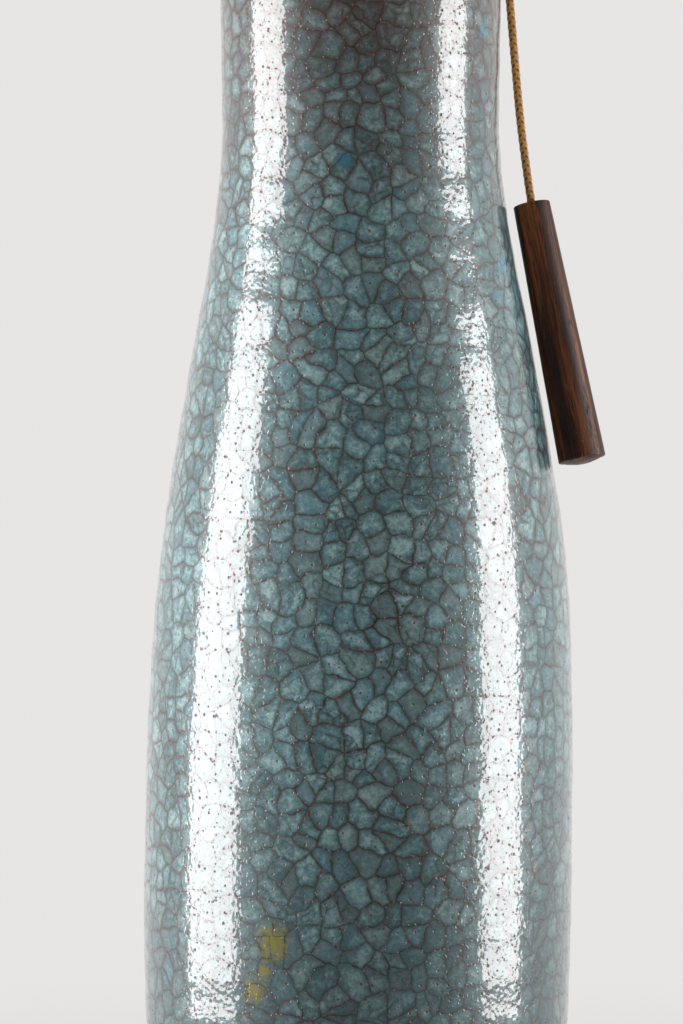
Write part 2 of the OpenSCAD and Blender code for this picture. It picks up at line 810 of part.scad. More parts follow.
module pull_insert() {
    color(brass) between(pull_low, pull_top)
        translate([0, 0, pull_len - pull_hole_h + touch])
            cylinder(r = pull_hole_r - touch, h = pull_hole_h - 4);
}

// Shade
function shade_r(z) = (shade_low_d - (shade_low_d - shade_top_d) * (z - shade_z) / shade_h) / 2;

// A conical skin between two heights, at a distance outside the shade's inner face
module skin(z1, z2, out, thick) {
    rotate_extrude() polygon([[shade_r(z1) + out, z1], [shade_r(z1) + out + thick, z1],
        [shade_r(z2) + out + thick, z2], [shade_r(z2) + out, z2]]);
}

shade_top_z = shade_z + shade_h;
low_wire_z = shade_z + wire_r;
top_wire_z = shade_top_z - wire_r;
low_wire_r = shade_r(low_wire_z) - wire_r - 0.2;
top_wire_r = shade_r(top_wire_z) - wire_r - 0.2;

module shade_carrier() {
    spoke_z = hub_z + hub_t / 2;
    bend = [spoke_bend, 0, spoke_z];
    color("#d8d6d0") difference() {
        union() {
            translate([0, 0, hub_z]) cylinder(d = hub_d, h = hub_t);
            translate([0, 0, low_wire_z]) ring(low_wire_r, wire_r);
            for (i = [0 : spokes - 1]) rotate(60 + 360 * i / spokes) {
                between([hub_d / 2 - 1.5, 0, spoke_z], bend)
                    cylinder(r = spoke_r, h = spoke_bend - hub_d / 2 + 1.5);
                translate(bend) sphere(r = spoke_r + 0.05);
                between(bend, [low_wire_r, 0, low_wire_z])
                    cylinder(r = spoke_r, h = norm([low_wire_r, 0, low_wire_z] - bend));
            }
        }
        translate([0, 0, hub_z - past]) cylinder(d = shell_d + 2 * run, h = hub_t + 2 * past);
    }
}

module shade_top_ring() {
    color("#d8d6d0") translate([0, 0, top_wire_z]) ring(top_wire_r, wire_r);
}

module shade_liner() {
    color("#f4f0e6") skin(shade_z, shade_top_z, 0, liner_t);
}

module shade_fabric() {
    color(cloth) skin(shade_z, shade_top_z, liner_t + touch, fabric_t);
}

trim_out = liner_t + fabric_t + 2 * touch;

module shade_trim_low() {
    color(cloth) skin(shade_z, shade_z + trim_h, trim_out, trim_t);
}

module shade_trim_top() {
    color(cloth) skin(shade_top_z - trim_h, shade_top_z, trim_out, trim_t);
}

foot_felt();
ceramic_body();
base_plate();
lower_washer();
lower_nut();
threaded_rod();
lead_bush();
terminal_block();
terminal_screws();
live_wire();
neutral_wire();
cap_gasket();
wooden_cap();
cap_washer();
cap_nut();
neck_tube();
holder_cup();
switch_housing();
switch_cover();
cover_screws();
switch_contacts();
return_spring();
socket_insulator();
socket_terminals();
centre_contact();
screw_shell();
holder_shell();
shade_ring();
bulb_cap();
bulb_contact();
bulb_glass();
bulb_stem();
bulb_filaments();
switch_rotor();
rotor_pads();
switch_slider();
link_ring();
cord_ferrule();
pull_cord();
pull_handle();
pull_insert();
shade_carrier();
shade_top_ring();
shade_liner();
shade_fabric();
shade_trim_low();
shade_trim_top();
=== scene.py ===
"""Looks of a bottle-shaped table lamp with a crackle glaze, a wooden pull and a linen shade."""
import json
import logging
import math
from dataclasses import dataclass, field
from enum import Enum
from functools import cache
from typing import Sequence, Union

import bpy
import numpy as np
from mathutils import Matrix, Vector


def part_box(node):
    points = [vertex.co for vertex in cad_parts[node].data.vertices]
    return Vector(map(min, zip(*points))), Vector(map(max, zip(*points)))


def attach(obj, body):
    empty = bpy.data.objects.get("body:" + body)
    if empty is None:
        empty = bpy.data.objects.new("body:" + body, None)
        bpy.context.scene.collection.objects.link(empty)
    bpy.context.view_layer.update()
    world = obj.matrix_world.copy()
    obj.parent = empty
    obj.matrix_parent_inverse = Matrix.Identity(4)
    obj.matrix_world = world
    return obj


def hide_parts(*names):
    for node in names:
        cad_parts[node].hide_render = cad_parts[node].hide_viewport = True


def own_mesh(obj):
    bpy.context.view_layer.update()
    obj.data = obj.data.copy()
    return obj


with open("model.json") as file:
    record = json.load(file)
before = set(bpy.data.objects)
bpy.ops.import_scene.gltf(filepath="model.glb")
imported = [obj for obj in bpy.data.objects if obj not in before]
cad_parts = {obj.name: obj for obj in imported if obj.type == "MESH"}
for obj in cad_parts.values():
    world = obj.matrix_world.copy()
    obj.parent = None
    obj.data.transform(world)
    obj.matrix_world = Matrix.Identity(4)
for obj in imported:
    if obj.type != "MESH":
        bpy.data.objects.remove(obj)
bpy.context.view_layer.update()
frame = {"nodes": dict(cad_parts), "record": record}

MM = 0.001
TURN = 2 * math.pi
LOG = logging.getLogger("lamp")

Socket = bpy.types.NodeSocket
Value = Union[float, Sequence[float], Socket]
Colour = tuple[float, float, float]


class Body(Enum):
    """Bodies of the frame that the pieces ride on."""

    BASE = "base"
    ROTOR = "rotor"
    SLIDER = "slider"
    LINK = "link"
    CORD = "cord"
    PULL = "pull"
    SHADE = "shade"


def linear(red: int, green: int, blue: int) -> Colour:
    """Turn a colour of 0 to 255 a channel into linear light.

    Args:
        red: Red as it shows on a screen.
        green: Green as it shows on a screen.
        blue: Blue as it shows on a screen.

    Returns:
        The three channels in linear light.
    """
    parts = np.array([red, green, blue]) / 255
    made = np.where(parts <= 0.04045, parts / 12.92, ((parts + 0.055) / 1.055) ** 2.4)
    return tuple(float(part) for part in made)


class Graph:
    """A node tree, with short methods that add nodes and join them."""

    def __init__(self, tree: bpy.types.NodeTree) -> None:
        """Keep the tree that the nodes go into.

        Args:
            tree: Tree that the nodes go into.
        """
        self.tree = tree

    def node(self, kind: str, inputs: dict[str, Value] | None = None, **settings: object) -> bpy.types.Node:
        """Add a node.

        Args:
            kind: Blender's name of the node's type.
            inputs: Values or sockets for its inputs, by their names.
            settings: Values of the node's own properties.

        Returns:
            The new node.
        """
        made = self.tree.nodes.new(kind)
        for name, setting in settings.items():
            setattr(made, name, setting)
        for name, value in (inputs or {}).items():
            self.feed(made.inputs[name], value)
        return made

    def feed(self, target: Socket, value: Value) -> None:
        """Give a socket a constant, or join it to another socket.

        Args:
            target: Socket to set.
            value: Constant, or the socket to join.
        """
        if isinstance(value, bpy.types.NodeSocket):
            self.tree.links.new(value, target)
        elif target.type == "RGBA" and len(value) == 3:
            target.default_value = (*value, 1.0)
        else:
            target.default_value = value

    def math(self, operation: str, *values: Value) -> Socket:
        """Work out one number from up to three others.

        Args:
            operation: Blender's name of the operation.
            values: Its inputs, in their order.

        Returns:
            The result.
        """
        made = self.node("ShaderNodeMath", operation=operation)
        for target, value in zip(made.inputs, values):
            self.feed(target, value)
        return made.outputs[0]

    def vector(self, operation: str, *values: Value) -> Socket:
        """Work out one vector from up to three others.

        Args:
            operation: Blender's name of the operation.
            values: Its inputs, in their order.

        Returns:
            The result.
        """
        made = self.node("ShaderNodeVectorMath", operation=operation)
        for target, value in zip(made.inputs, values):
            self.feed(target, value)
        return made.outputs[0]

    def mix(self, factor: Value, first: Value, second: Value) -> Socket:
        """Mix two colours by a factor.

        Args:
            factor: Share of the second colour.
            first: First colour.
            second: Second colour.

        Returns:
            The mixed colour.
        """
        made = self.node("ShaderNodeMix", data_type="RGBA", clamp_factor=True)
        for index, value in ((0, factor), (6, first), (7, second)):
            self.feed(made.inputs[index], value)
        return made.outputs[2]

    def noise(self, where: Socket, scale: float, detail: float = 2.0, rough: float = 0.5) -> bpy.types.Node:
        """Add a noise texture.

        Args:
            where: Place to read it at.
            scale: Waves to a unit of the place.
            detail: Number of finer layers.
            rough: Strength of the finer layers.

        Returns:
            The texture's node.
        """
        inputs = {"Vector": where, "Scale": scale, "Detail": detail, "Roughness": rough}
        return self.node("ShaderNodeTexNoise", inputs)

    def cells(self, where: Socket, scale: float, feature: str = "F1", flat: bool = False) -> bpy.types.Node:
        """Add a cell texture, in space or, if flat, in a plane.

        Args:
            where: Place to read it at.
            scale: Cells to a unit of the place.
            feature: What it measures.
            flat: Whether the cells lie in a plane.

        Returns:
            The texture's node.
        """
        return self.node("ShaderNodeTexVoronoi", {"Vector": where, "Scale": scale}, feature=feature,
                         voronoi_dimensions="2D" if flat else "3D")

    def step(self, value: Value, low: float, high: float, first: float = 0.0, last: float = 1.0) -> Socket:
        """Rise smoothly from first to last as the value goes from low to high.

        Args:
            value: Value to read.
            low: Value at which the rise starts.
            high: Value at which it ends.
            first: Result up to low.
            last: Result from high on.

        Returns:
            The result.
        """
        made = self.node("ShaderNodeMapRange", interpolation_type="SMOOTHSTEP")
        for target, number in zip(made.inputs, (value, low, high, first, last)):
            self.feed(target, number)
        return made.outputs[0]

    def ramp(self, factor: Socket, stops: Sequence[tuple[float, Colour]]) -> Socket:
        """Read a colour from a row of stops.

        Args:
            factor: Where to read the row.
            stops: Place and colour of each stop.

        Returns:
            The colour.
        """
        made = self.node("ShaderNodeValToRGB", {"Fac": factor})
        elements = made.color_ramp.elements
        while len(elements) < len(stops):
            elements.new(0.5)
        for element, (place, colour) in zip(elements, stops):
            element.position = place
            element.color = (*colour, 1.0)
        return made.outputs[0]

    def parts(self, value: Socket) -> tuple[Socket, Socket, Socket]:
        """Split a vector into its three numbers.

        Args:
            value: Vector to split.

        Returns:
            Its x, y and z.
        """
        made = self.node("ShaderNodeSeparateXYZ", {"Vector": value})
        return made.outputs[0], made.outputs[1], made.outputs[2]

    def joined(self, x: Value, y: Value, z: Value) -> Socket:
        """Make a vector of three numbers.

        Args:
            x: First number.
            y: Second number.
            z: Third number.

        Returns:
            The vector.
        """
        return self.node("ShaderNodeCombineXYZ", {"X": x, "Y": y, "Z": z}).outputs[0]

    def place(self, attribute: str | None = None) -> Socket:
        """Give the object's own coordinates, or a vector kept on the mesh.

        Args:
            attribute: Name of the kept vector, or nothing for the coordinates.

        Returns:
            The place in metres.
        """
        if attribute is None:
            return self.node("ShaderNodeTexCoord").outputs["Object"]
        return self.node("ShaderNodeAttribute", attribute_name=attribute).outputs["Vector"]

    def kept(self, attribute: str) -> Socket:
        """Give a number kept on the mesh.

        Args:
            attribute: Name of the kept number.

        Returns:
            The number.
        """
        return self.node("ShaderNodeAttribute", attribute_name=attribute).outputs["Fac"]

    def bump(self, height: Value, depth: float) -> Socket:
        """Tilt the normal by a height, whose value of 1 stands for a depth in metres.

        Args:
            height: Height, where 1 is the whole depth.
            depth: Depth in metres.

        Returns:
            The tilted normal.
        """
        return self.node("ShaderNodeBump", {"Height": height, "Distance": depth, "Strength": 1.0}).outputs[0]

    def group(self, tree: bpy.types.NodeTree, inputs: dict[str, Value]) -> bpy.types.Node:
        """Place a shared effect.

        Args:
            tree: The effect's tree.
            inputs: Values or sockets for its inputs, by name.

        Returns:
            The placed group.
        """
        made = self.node("ShaderNodeGroup", node_tree=tree)
        for name, value in inputs.items():
            self.feed(made.inputs[name], value)
        return made


def effect(name: str, inputs: dict[str, str],
           outputs: dict[str, str]) -> tuple[Graph, bpy.types.Node, bpy.types.Node]:
    """Start a shared effect as a node group.

    Args:
        name: Name of the group.
        inputs: Kind of each input socket, by its name.
        outputs: Kind of each output socket, by its name.

    Returns:
        The graph inside the group, its input node and its output node.
    """
    tree = bpy.data.node_groups.new(name, "ShaderNodeTree")
    for way, sockets in (("INPUT", inputs), ("OUTPUT", outputs)):
        for label, kind in sockets.items():
            tree.interface.new_socket(name=label, in_out=way, socket_type=f"NodeSocket{kind}")
    graph = Graph(tree)
    return graph, graph.node("NodeGroupInput"), graph.node("NodeGroupOutput")


@cache
def wood_grain() -> bpy.types.NodeTree:
    """Streaks, rings and pores of a dark hardwood whose grain runs along Z.

    Returns:
        A group from a place in metres to a streak, a pore mask and a height.
    """
    graph, into, out = effect("wood_grain", {"Place": "Vector"},
                              {"Streak": "Float", "Pore": "Float", "Height": "Float"})
    place = into.outputs["Place"]
    drift = graph.noise(place, 60, 2)
    bent = graph.vector("MULTIPLY_ADD", drift.outputs["Color"], (0.0016, 0.0016, 0.0), place)
    broad = graph.noise(graph.vector("MULTIPLY", bent, (1.0, 1.0, 0.05)), 420, 3, 0.6)
    fine = graph.noise(graph.vector("MULTIPLY", bent, (1.0, 1.0, 0.025)), 1900, 2, 0.7)
    dots = graph.noise(graph.vector("MULTIPLY", bent, (1.0, 1.0, 0.09)), 3300, 1, 0.5)
    rings = graph.node("ShaderNodeTexWave", {"Vector": graph.vector("MULTIPLY", bent, (1.0, 0.4, 0.02)),
                                             "Scale": 95.0, "Distortion": 5.0, "Detail": 2.0})
    streak = graph.math("ADD", graph.math("MULTIPLY", broad.outputs["Fac"], 0.55),
                        graph.math("MULTIPLY", fine.outputs["Fac"], 0.3))
    streak = graph.math("ADD", streak, graph.math("MULTIPLY", rings.outputs["Fac"], 0.15))
    pore = graph.step(dots.outputs["Fac"], 0.58, 0.7)
    height = graph.math("SUBTRACT", graph.math("MULTIPLY", fine.outputs["Fac"], 0.4), pore)
    for name, value in (("Streak", streak), ("Pore", pore), ("Height", height)):
        graph.feed(out.inputs[name], value)
    return graph.tree


@cache
def plain_weave() -> bpy.types.NodeTree:
    """Over and under threads of a plain weave, with thick places in the yarn.

    Returns:
        A group from a place in metres and the threads' distance in metres to a height,
        a thread shade and a slub mask.
    """
    graph, into, out = effect("plain_weave", {"Place": "Vector", "Pitch": "Float"},
                              {"Height": "Float", "Shade": "Float", "Slub": "Float"})
    along, up, _ = graph.parts(into.outputs["Place"])
    wobble = graph.noise(into.outputs["Place"], 160, 2)
    turn = graph.math("DIVIDE", math.pi, into.outputs["Pitch"])
    shift = graph.math("MULTIPLY", wobble.outputs["Fac"], 2.2)
    warp = graph.math("SINE", graph.math("MULTIPLY_ADD", along, turn, shift))
    weft = graph.math("SINE", graph.math("MULTIPLY_ADD", up, turn, shift))
    warp_line = graph.math("ABSOLUTE", warp)
    weft_line = graph.math("ABSOLUTE", weft)
    over = graph.math("MULTIPLY", graph.math("MULTIPLY", warp, weft), 0.35)
    lifted = graph.math("MAXIMUM", graph.math("ADD", warp_line, over),
                        graph.math("SUBTRACT", weft_line, over))
    level = graph.noise(graph.joined(graph.math("MULTIPLY", along, 0.035), up, 0.0), 1500, 2, 0.6)
    plumb = graph.noise(graph.joined(along, graph.math("MULTIPLY", up, 0.035), 0.0), 1500, 2, 0.6)
    slub = graph.math("MAXIMUM", graph.step(level.outputs["Fac"], 0.6, 0.75),
                      graph.step(plumb.outputs["Fac"], 0.64, 0.78))
    shade = graph.math("ADD", graph.math("MULTIPLY", level.outputs["Fac"], 0.5),
                       graph.math("MULTIPLY", plumb.outputs["Fac"], 0.5))
    graph.feed(out.inputs["Height"], graph.math("ADD", lifted, graph.math("MULTIPLY", slub, 0.6)))
    graph.feed(out.inputs["Shade"], shade)
    graph.feed(out.inputs["Slub"], slub)
    return graph.tree


@cache
def handling_wear() -> bpy.types.NodeTree:
    """Faint smears, specks of dust and fine scratches of a thing in daily use.

    Returns:
        A group from a place in metres to a smear, a dust mask and a scratch height.
    """
    graph, into, out = effect("handling_wear", {"Place": "Vector"},
                              {"Smear": "Float", "Dust": "Float", "Scratch": "Float"})
    place = into.outputs["Place"]
    smear = graph.noise(place, 70, 3, 0.6)
    specks = graph.noise(place, 1400, 2, 0.6)
    thin = graph.noise(graph.vector("MULTIPLY", place, (1.0, 1.0, 0.12)), 2400, 1, 0.5)
    graph.feed(out.inputs["Smear"], smear.outputs["Fac"])
    graph.feed(out.inputs["Dust"], graph.step(specks.outputs["Fac"], 0.66, 0.74))
    graph.feed(out.inputs["Scratch"], thin.outputs["Fac"])
    return graph.tree


def shaded(name: str, **sockets: Value) -> tuple[bpy.types.Material, Graph, bpy.types.Node]:
    """Start a material with one surface shader.

    Args:
        name: Name of the material.
        sockets: Constants for the shader's inputs, with spaces written as underscores.

    Returns:
        The material, its graph and the shader.
    """
    made = bpy.data.materials.new(name)
    made.use_nodes = True
    made.node_tree.nodes.clear()
    graph = Graph(made.node_tree)
    shader = graph.node("ShaderNodeBsdfPrincipled")
    output = graph.node("ShaderNodeOutputMaterial")
    graph.feed(output.inputs["Surface"], shader.outputs[0])
    for label, value in sockets.items():
        graph.feed(shader.inputs[label.replace("_", " ")], value)
    return made, graph, shader


@dataclass(frozen=True)
class Stain:
    """A small spot in the glaze.

    Attributes:
        centre: Its place in the frame, in metres.
        radius: Its radius in metres.
        colour: Its colour in linear light.
        strength: How much it covers.
    """

    centre: tuple[float, float, float]
    radius: float
    colour: Colour
    strength: float = 0.8


@dataclass(frozen=True)
class HoleSet:
    """Burst bubbles of one size, of which each cell of the flat chart may hold one.

    Attributes:
        scale: Cells to a unit of the chart.
        least: Radius of the smallest, as a share of a cell.
        spread: How much larger the largest is.
        bar: Random value that a cell has to pass to hold one.
        by_crack: How much a crack beside it adds to that value.
    """

    scale: float
    least: float
    spread: float
    bar: float
    by_crack: float


@dataclass(frozen=True)
class GlazeRelief:
    """Heights in the glaze, as shares of its depth, and scales of its noises.

    Attributes:
        depth: Depth of the whole relief in metres.
        swell: Height of a cell's middle.
        facet: The same for a cell of the finer set.
        line: Height of a crack.
        hole: Height of a burst bubble's floor.
        peel: Height of the fine orange peel.
        bubble: Height of the bubbles under the skin.
        wave: Height of the slow waves.
        peel_scale: Scale of the peel.
        bubble_scale: Scale of the bubbles.
        wave_scale: Scale of the waves.
    """

    depth: float = 0.1 * MM
    swell: float = 0.13
    facet: float = 0.07
    line: float = -0.03
    hole: float = -0.8
    peel: float = 0.4
    bubble: float = 0.45
    wave: float = 0.85
    peel_scale: float = 900.0
    bubble_scale: float = 1300.0
    wave_scale: float = 300.0


@dataclass(frozen=True)
class CrackleGlaze:
    """Turquoise glaze, glossy and full of dark cracks in two sizes.

    Attributes:
        usual: Cells to a radian of the belly in the plain set of cracks.
        fine: The same in the faint set.
        deep: Darkest teal.
        middle: Teal between.
        light: Palest teal; the mottle's brightest flecks of it also stand in for painted glints.
        veil: Grey that some cells lean to.
        blue: Blue that others lean to.
        halo: Colour soaked in along the cracks.
        thin: Brown that the glaze takes on towards the neck.
        foot_dark: Colour that the glaze darkens to towards the foot.
        crack: Colour of the cracks.
        pit: Colour inside the burst bubbles.
        stains: Spots.
        randomness: How irregular the cells are.
        crack_reach: Millimetres from a plain crack's middle at which it starts and ends to fade.
        faint_reach: The same for a faint crack.
        halo_reach: The same for the soaked-in edge.
        film: Roughness of the clean and of the smeared glaze.
        holes: Sets of burst bubbles.
        heights: Its relief.
    """

    usual: float = 9.9
    fine: float = 16.5
    deep: Colour = linear(78, 116, 123)
    middle: Colour = linear(120, 163, 169)
    light: Colour = linear(186, 222, 225)
    veil: Colour = linear(124, 139, 138)
    blue: Colour = linear(104, 162, 182)
    halo: Colour = linear(84, 77, 74)
    thin: Colour = linear(98, 66, 54)
    foot_dark: Colour = linear(58, 80, 84)
    crack: Colour = linear(40, 28, 26)
    pit: Colour = linear(92, 36, 28)
    stains: tuple[Stain, ...] = ()
    randomness: float = 0.86
    crack_reach: tuple[float, float] = (0.1, 0.42)
    faint_reach: tuple[float, float] = (0.06, 0.3)
    halo_reach: tuple[float, float] = (-0.05, 0.88)
    film: tuple[float, float] = (0.03, 0.06)
    holes: tuple[HoleSet, ...] = (HoleSet(16.0, 0.06, 0.06, 0.25, 0.0), HoleSet(31.0, 0.12, 0.14, 1.2, 1.0))
    heights: GlazeRelief = GlazeRelief()

    def chart(self, graph: Graph, place: Socket) -> tuple[Socket, Socket, Socket, Socket]:
        """Lay the turned surface out flat, cut along a wavy line at the back.

        The mesh keeps three numbers: how much the cells shrink at this height, a height
        that grows by the step over the radius, shrunk alike, and the millimetres that one
        unit of the flat place stands for. The other coordinate is the shrunk angle.

        Args:
            graph: Graph to add to.
            place: The object's own coordinates.

        Returns:
            The flat place, the same bent to and fro, the distance from the cut in their
            units, and the millimetres to a unit.
        """
        x, y, z = graph.parts(place)
        shrunk, height, unit = graph.parts(graph.place("glaze_chart"))
        wave = graph.noise(graph.joined(0.0, 0.0, z), 55, 3).outputs["Fac"]
        shift = graph.math("MULTIPLY_ADD", wave, 0.7, -0.35)
        angle = graph.math("SUBTRACT", graph.math("ARCTAN2", x, graph.math("MULTIPLY", y, -1.0)), shift)
        angle = graph.math("WRAP", angle, math.pi, -math.pi)
        cut = graph.math("SUBTRACT", math.pi, graph.math("ABSOLUTE", angle))
        flat = graph.joined(graph.math("MULTIPLY", graph.math("ADD", angle, shift), shrunk), height, 0.0)
        bent = flat
        for scale, reach in ((62, 0.16), (330, 0.03)):
            bend = graph.noise(place, scale, 2).outputs["Color"]
            bent = graph.vector("MULTIPLY_ADD", bend, (reach, reach, 0.0), bent)
        return flat, bent, cut, unit

    def crack_set(self, graph: Graph, flat: Socket, scale: float, unit: Socket) -> tuple[Socket, Socket]:
        """Find the cells of one size.

        Args:
            graph: Graph to add to.
            flat: Place on the flat chart.
            scale: Cells to a unit of the chart.
            unit: Millimetres to a unit of the chart.

        Returns:
            The random colour of each cell, and the distance to its edge in millimetres.
        """
        cells = graph.cells(flat, scale, flat=True)
        edges = graph.cells(flat, scale, "DISTANCE_TO_EDGE", flat=True)
        for texture in (cells, edges):
            texture.inputs["Randomness"].default_value = self.randomness
        away = graph.math("MULTIPLY", graph.math("DIVIDE", edges.outputs["Distance"], scale), unit)
        return cells.outputs["Color"], away

    def build(self) -> bpy.types.Material:
        """Make the material.

        The finer cells are shifted by the random value of the larger cell that they lie
        in, so that their cracks end at the larger cracks, as they do in a real glaze.

        Returns:
            The material.
        """
        made, graph, shader = shaded("crackle_glaze", IOR=1.8, Coat_Roughness=0.3, Coat_IOR=1.4)
        place = graph.place()
        flat, bent, cut, unit = self.chart(graph, place)
        cell, away = self.crack_set(graph, bent, self.usual, unit)
        inner = graph.vector("MULTIPLY_ADD", cell, (5.0, 5.0, 0.0), bent)
        small_cell, small_away = self.crack_set(graph, inner, self.fine, unit)
        away = graph.math("MINIMUM", away, graph.math("MULTIPLY", cut, unit))

        wander = graph.math("MULTIPLY_ADD", graph.noise(place, 210, 2).outputs["Fac"], 0.3, -0.15)
        ragged = graph.math("MULTIPLY_ADD", graph.noise(place, 1300, 2, 0.7).outputs["Fac"], 0.34, wander)
        plain = graph.step(graph.math("ADD", away, ragged), *self.crack_reach, 1.0, 0.0)
        faint = graph.step(graph.math("ADD", small_away, ragged), *self.faint_reach, 1.0, 0.0)
        full = graph.step(graph.noise(place, 90, 2).outputs["Fac"], 0.3, 0.58, 0.7, 1.0)
        some = graph.step(graph.noise(place, 75, 2).outputs["Fac"], 0.44, 0.62, 0.05, 0.8)
        faint = graph.math("MULTIPLY", faint, some)
        lines = graph.math("MAXIMUM", graph.math("MULTIPLY", plain, full), faint)
        unseen = graph.step(some, 0.05, 0.8, 3.0, 0.3)
        near = graph.math("MINIMUM", away, graph.math("ADD", small_away, unseen))
        colour = self.cell_colour(graph, place, near, cell, small_cell)
        spread = graph.math("MULTIPLY_ADD", graph.noise(place, 420, 2).outputs["Fac"], 0.9, -0.45)
        soaked = graph.step(graph.noise(place, 26, 2).outputs["Fac"], 0.35, 0.65, 0.5, 0.95)
        edge = graph.step(graph.math("ADD", near, spread), *self.halo_reach, 1.0, 0.0)
        colour = graph.mix(graph.math("MULTIPLY", edge, soaked), colour, self.halo)
        colour = self.darker_ends(graph, place, near, colour)
        for stain in self.stains:
            colour = self.with_stain(graph, place, colour, stain)
        colour = graph.mix(graph.math("MULTIPLY", lines, 0.97), colour, self.crack)

        holes = self.pinholes(graph, flat, near)
        graph.feed(shader.inputs["Base Color"], graph.mix(holes, colour, self.pit))
        film = graph.step(graph.noise(place, 150, 3).outputs["Fac"], 0.4, 0.75, *self.film)
        graph.feed(shader.inputs["Roughness"], graph.math("MULTIPLY_ADD", holes, 0.55, film))
        graph.feed(shader.inputs["Coat Weight"], graph.math("SUBTRACT", 1.0, holes))
        graph.feed(shader.inputs["Normal"], self.relief(graph, place, near, small_away, lines, holes))
        return made

    def cell_colour(self, graph: Graph, place: Socket, near: Socket, cell: Socket,
                    small_cell: Socket) -> Socket:
        """Give each cell its own teal, some of them greyer or bluer, paler in its middle as painted shading
        of its slight dome, with a fine mottle whose palest flecks are partly painted glints.

        Args:
            graph: Graph to add to.
            place: The object's own coordinates.
            near: Distance to the nearest crack, in millimetres.
            cell: Random colour of the cell.
            small_cell: Random colour of the finer cell.

        Returns:
            The colour.
        """
        mottle = graph.noise(place, 760, 4, 0.75).outputs["Fac"]
        cloud = graph.noise(place, 34, 3, 0.6).outputs["Fac"]
        kind = graph.node("ShaderNodeSeparateColor", {"Color": cell})
        tiny = graph.node("ShaderNodeSeparateColor", {"Color": small_cell})
        tone = graph.math("MULTIPLY_ADD", kind.outputs[0], 0.32, -0.99)
        tone = graph.math("MULTIPLY_ADD", tiny.outputs[0], 0.28, tone)
        # Paler towards the cell's middle, away from its cracks: painted shading of the cell's slight dome.
        tone = graph.math("ADD", tone, graph.step(near, 0.2, 2.0, 0.0, 0.24))
        # Fine mottle: random tone, whose palest flecks also stand in for painted glints of the orange peel.
        tone = graph.math("MULTIPLY_ADD", mottle, 1.7, tone)
        tone = graph.math("MULTIPLY_ADD", cloud, 0.3, tone)
        colour = graph.ramp(tone, ((0.16, self.deep), (0.5, self.middle), (0.86, self.light)))
        greyer = graph.math("MULTIPLY", graph.step(kind.outputs[1], 0.55, 0.95), 0.4)
        colour = graph.mix(greyer, colour, self.veil)
        bluer = graph.math("MULTIPLY", graph.step(kind.outputs[2], 0.7, 1.0), 0.3)
        return graph.mix(bluer, colour, self.blue)

    def darker_ends(self, graph: Graph, place: Socket, near: Socket, colour: Socket) -> Socket:
        """Make the glaze browner and darker towards the neck, more so near the cracks, and darker towards the
        foot.

        Args:
            graph: Graph to add to.
            place: The object's own coordinates.
            near: Distance to the nearest crack, in millimetres.
            colour: Colour of the glaze.

        Returns:
            The changed colour.
        """
        _, _, z = graph.parts(place)
        drift = graph.math("MULTIPLY_ADD", graph.noise(place, 30, 2).outputs["Fac"], 0.06, -0.03)
        z = graph.math("ADD", z, drift)
        # Browner and darker towards the neck, more so near the cracks.
        neck = graph.step(z, 0.275, 0.345, 0.0, 0.56)
        neck = graph.math("MULTIPLY", neck, graph.step(near, 0.3, 1.8, 1.15, 0.75))
        colour = graph.mix(neck, colour, self.thin)
        # Darker towards the foot.
        return graph.mix(graph.step(z, 0.075, 0.165, 0.52, 0.0), colour, self.foot_dark)

    def with_stain(self, graph: Graph, place: Socket, colour: Socket, stain: Stain) -> Socket:
        """Lay one spot over the colour, with a ragged edge.

        Args:
            graph: Graph to add to.
            place: The object's own coordinates.
            colour: Colour of the glaze.
            stain: The spot.

        Returns:
            The changed colour.
        """
        ragged = graph.noise(place, 700, 3, 0.6).outputs["Fac"]
        away = graph.node("ShaderNodeVectorMath", operation="DISTANCE")
        graph.feed(away.inputs[0], place)
        graph.feed(away.inputs[1], stain.centre)
        reach = graph.math("DIVIDE", away.outputs["Value"], stain.radius)
        reach = graph.math("ADD", reach, graph.math("MULTIPLY_ADD", ragged, 2.2, -1.1))
        mask = graph.step(reach, 0.2, 1.0, stain.strength, 0.0)
        return graph.mix(mask, colour, stain.colour)

    def pinholes(self, graph: Graph, flat: Socket, near: Socket) -> Socket:
        """Scatter burst bubbles over the glaze, with smaller ones along the cracks.

        Args:
            graph: Graph to add to.
            flat: Place on the flat chart.
            near: Distance to the nearest crack, in millimetres.

        Returns:
            A mask of the holes.
        """
        beside = graph.step(near, 0.1, 0.5, 1.0, 0.0)
        found = []
        for holes in self.holes:
            dots = graph.cells(flat, holes.scale, flat=True)
            kind = graph.node("ShaderNodeSeparateColor", {"Color": dots.outputs["Color"]})
            share = graph.math("POWER", kind.outputs[1], 2.0)
            size = graph.math("MULTIPLY_ADD", share, holes.spread, holes.least)
            chance = graph.math("MULTIPLY_ADD", beside, holes.by_crack, kind.outputs[0])
            inside = graph.step(graph.math("DIVIDE", dots.outputs["Distance"], size), 0.6, 1.3, 1.0, 0.0)
            found.append(graph.math("MULTIPLY", inside, graph.math("GREATER_THAN", chance, holes.bar)))
        return graph.math("MAXIMUM", *found)

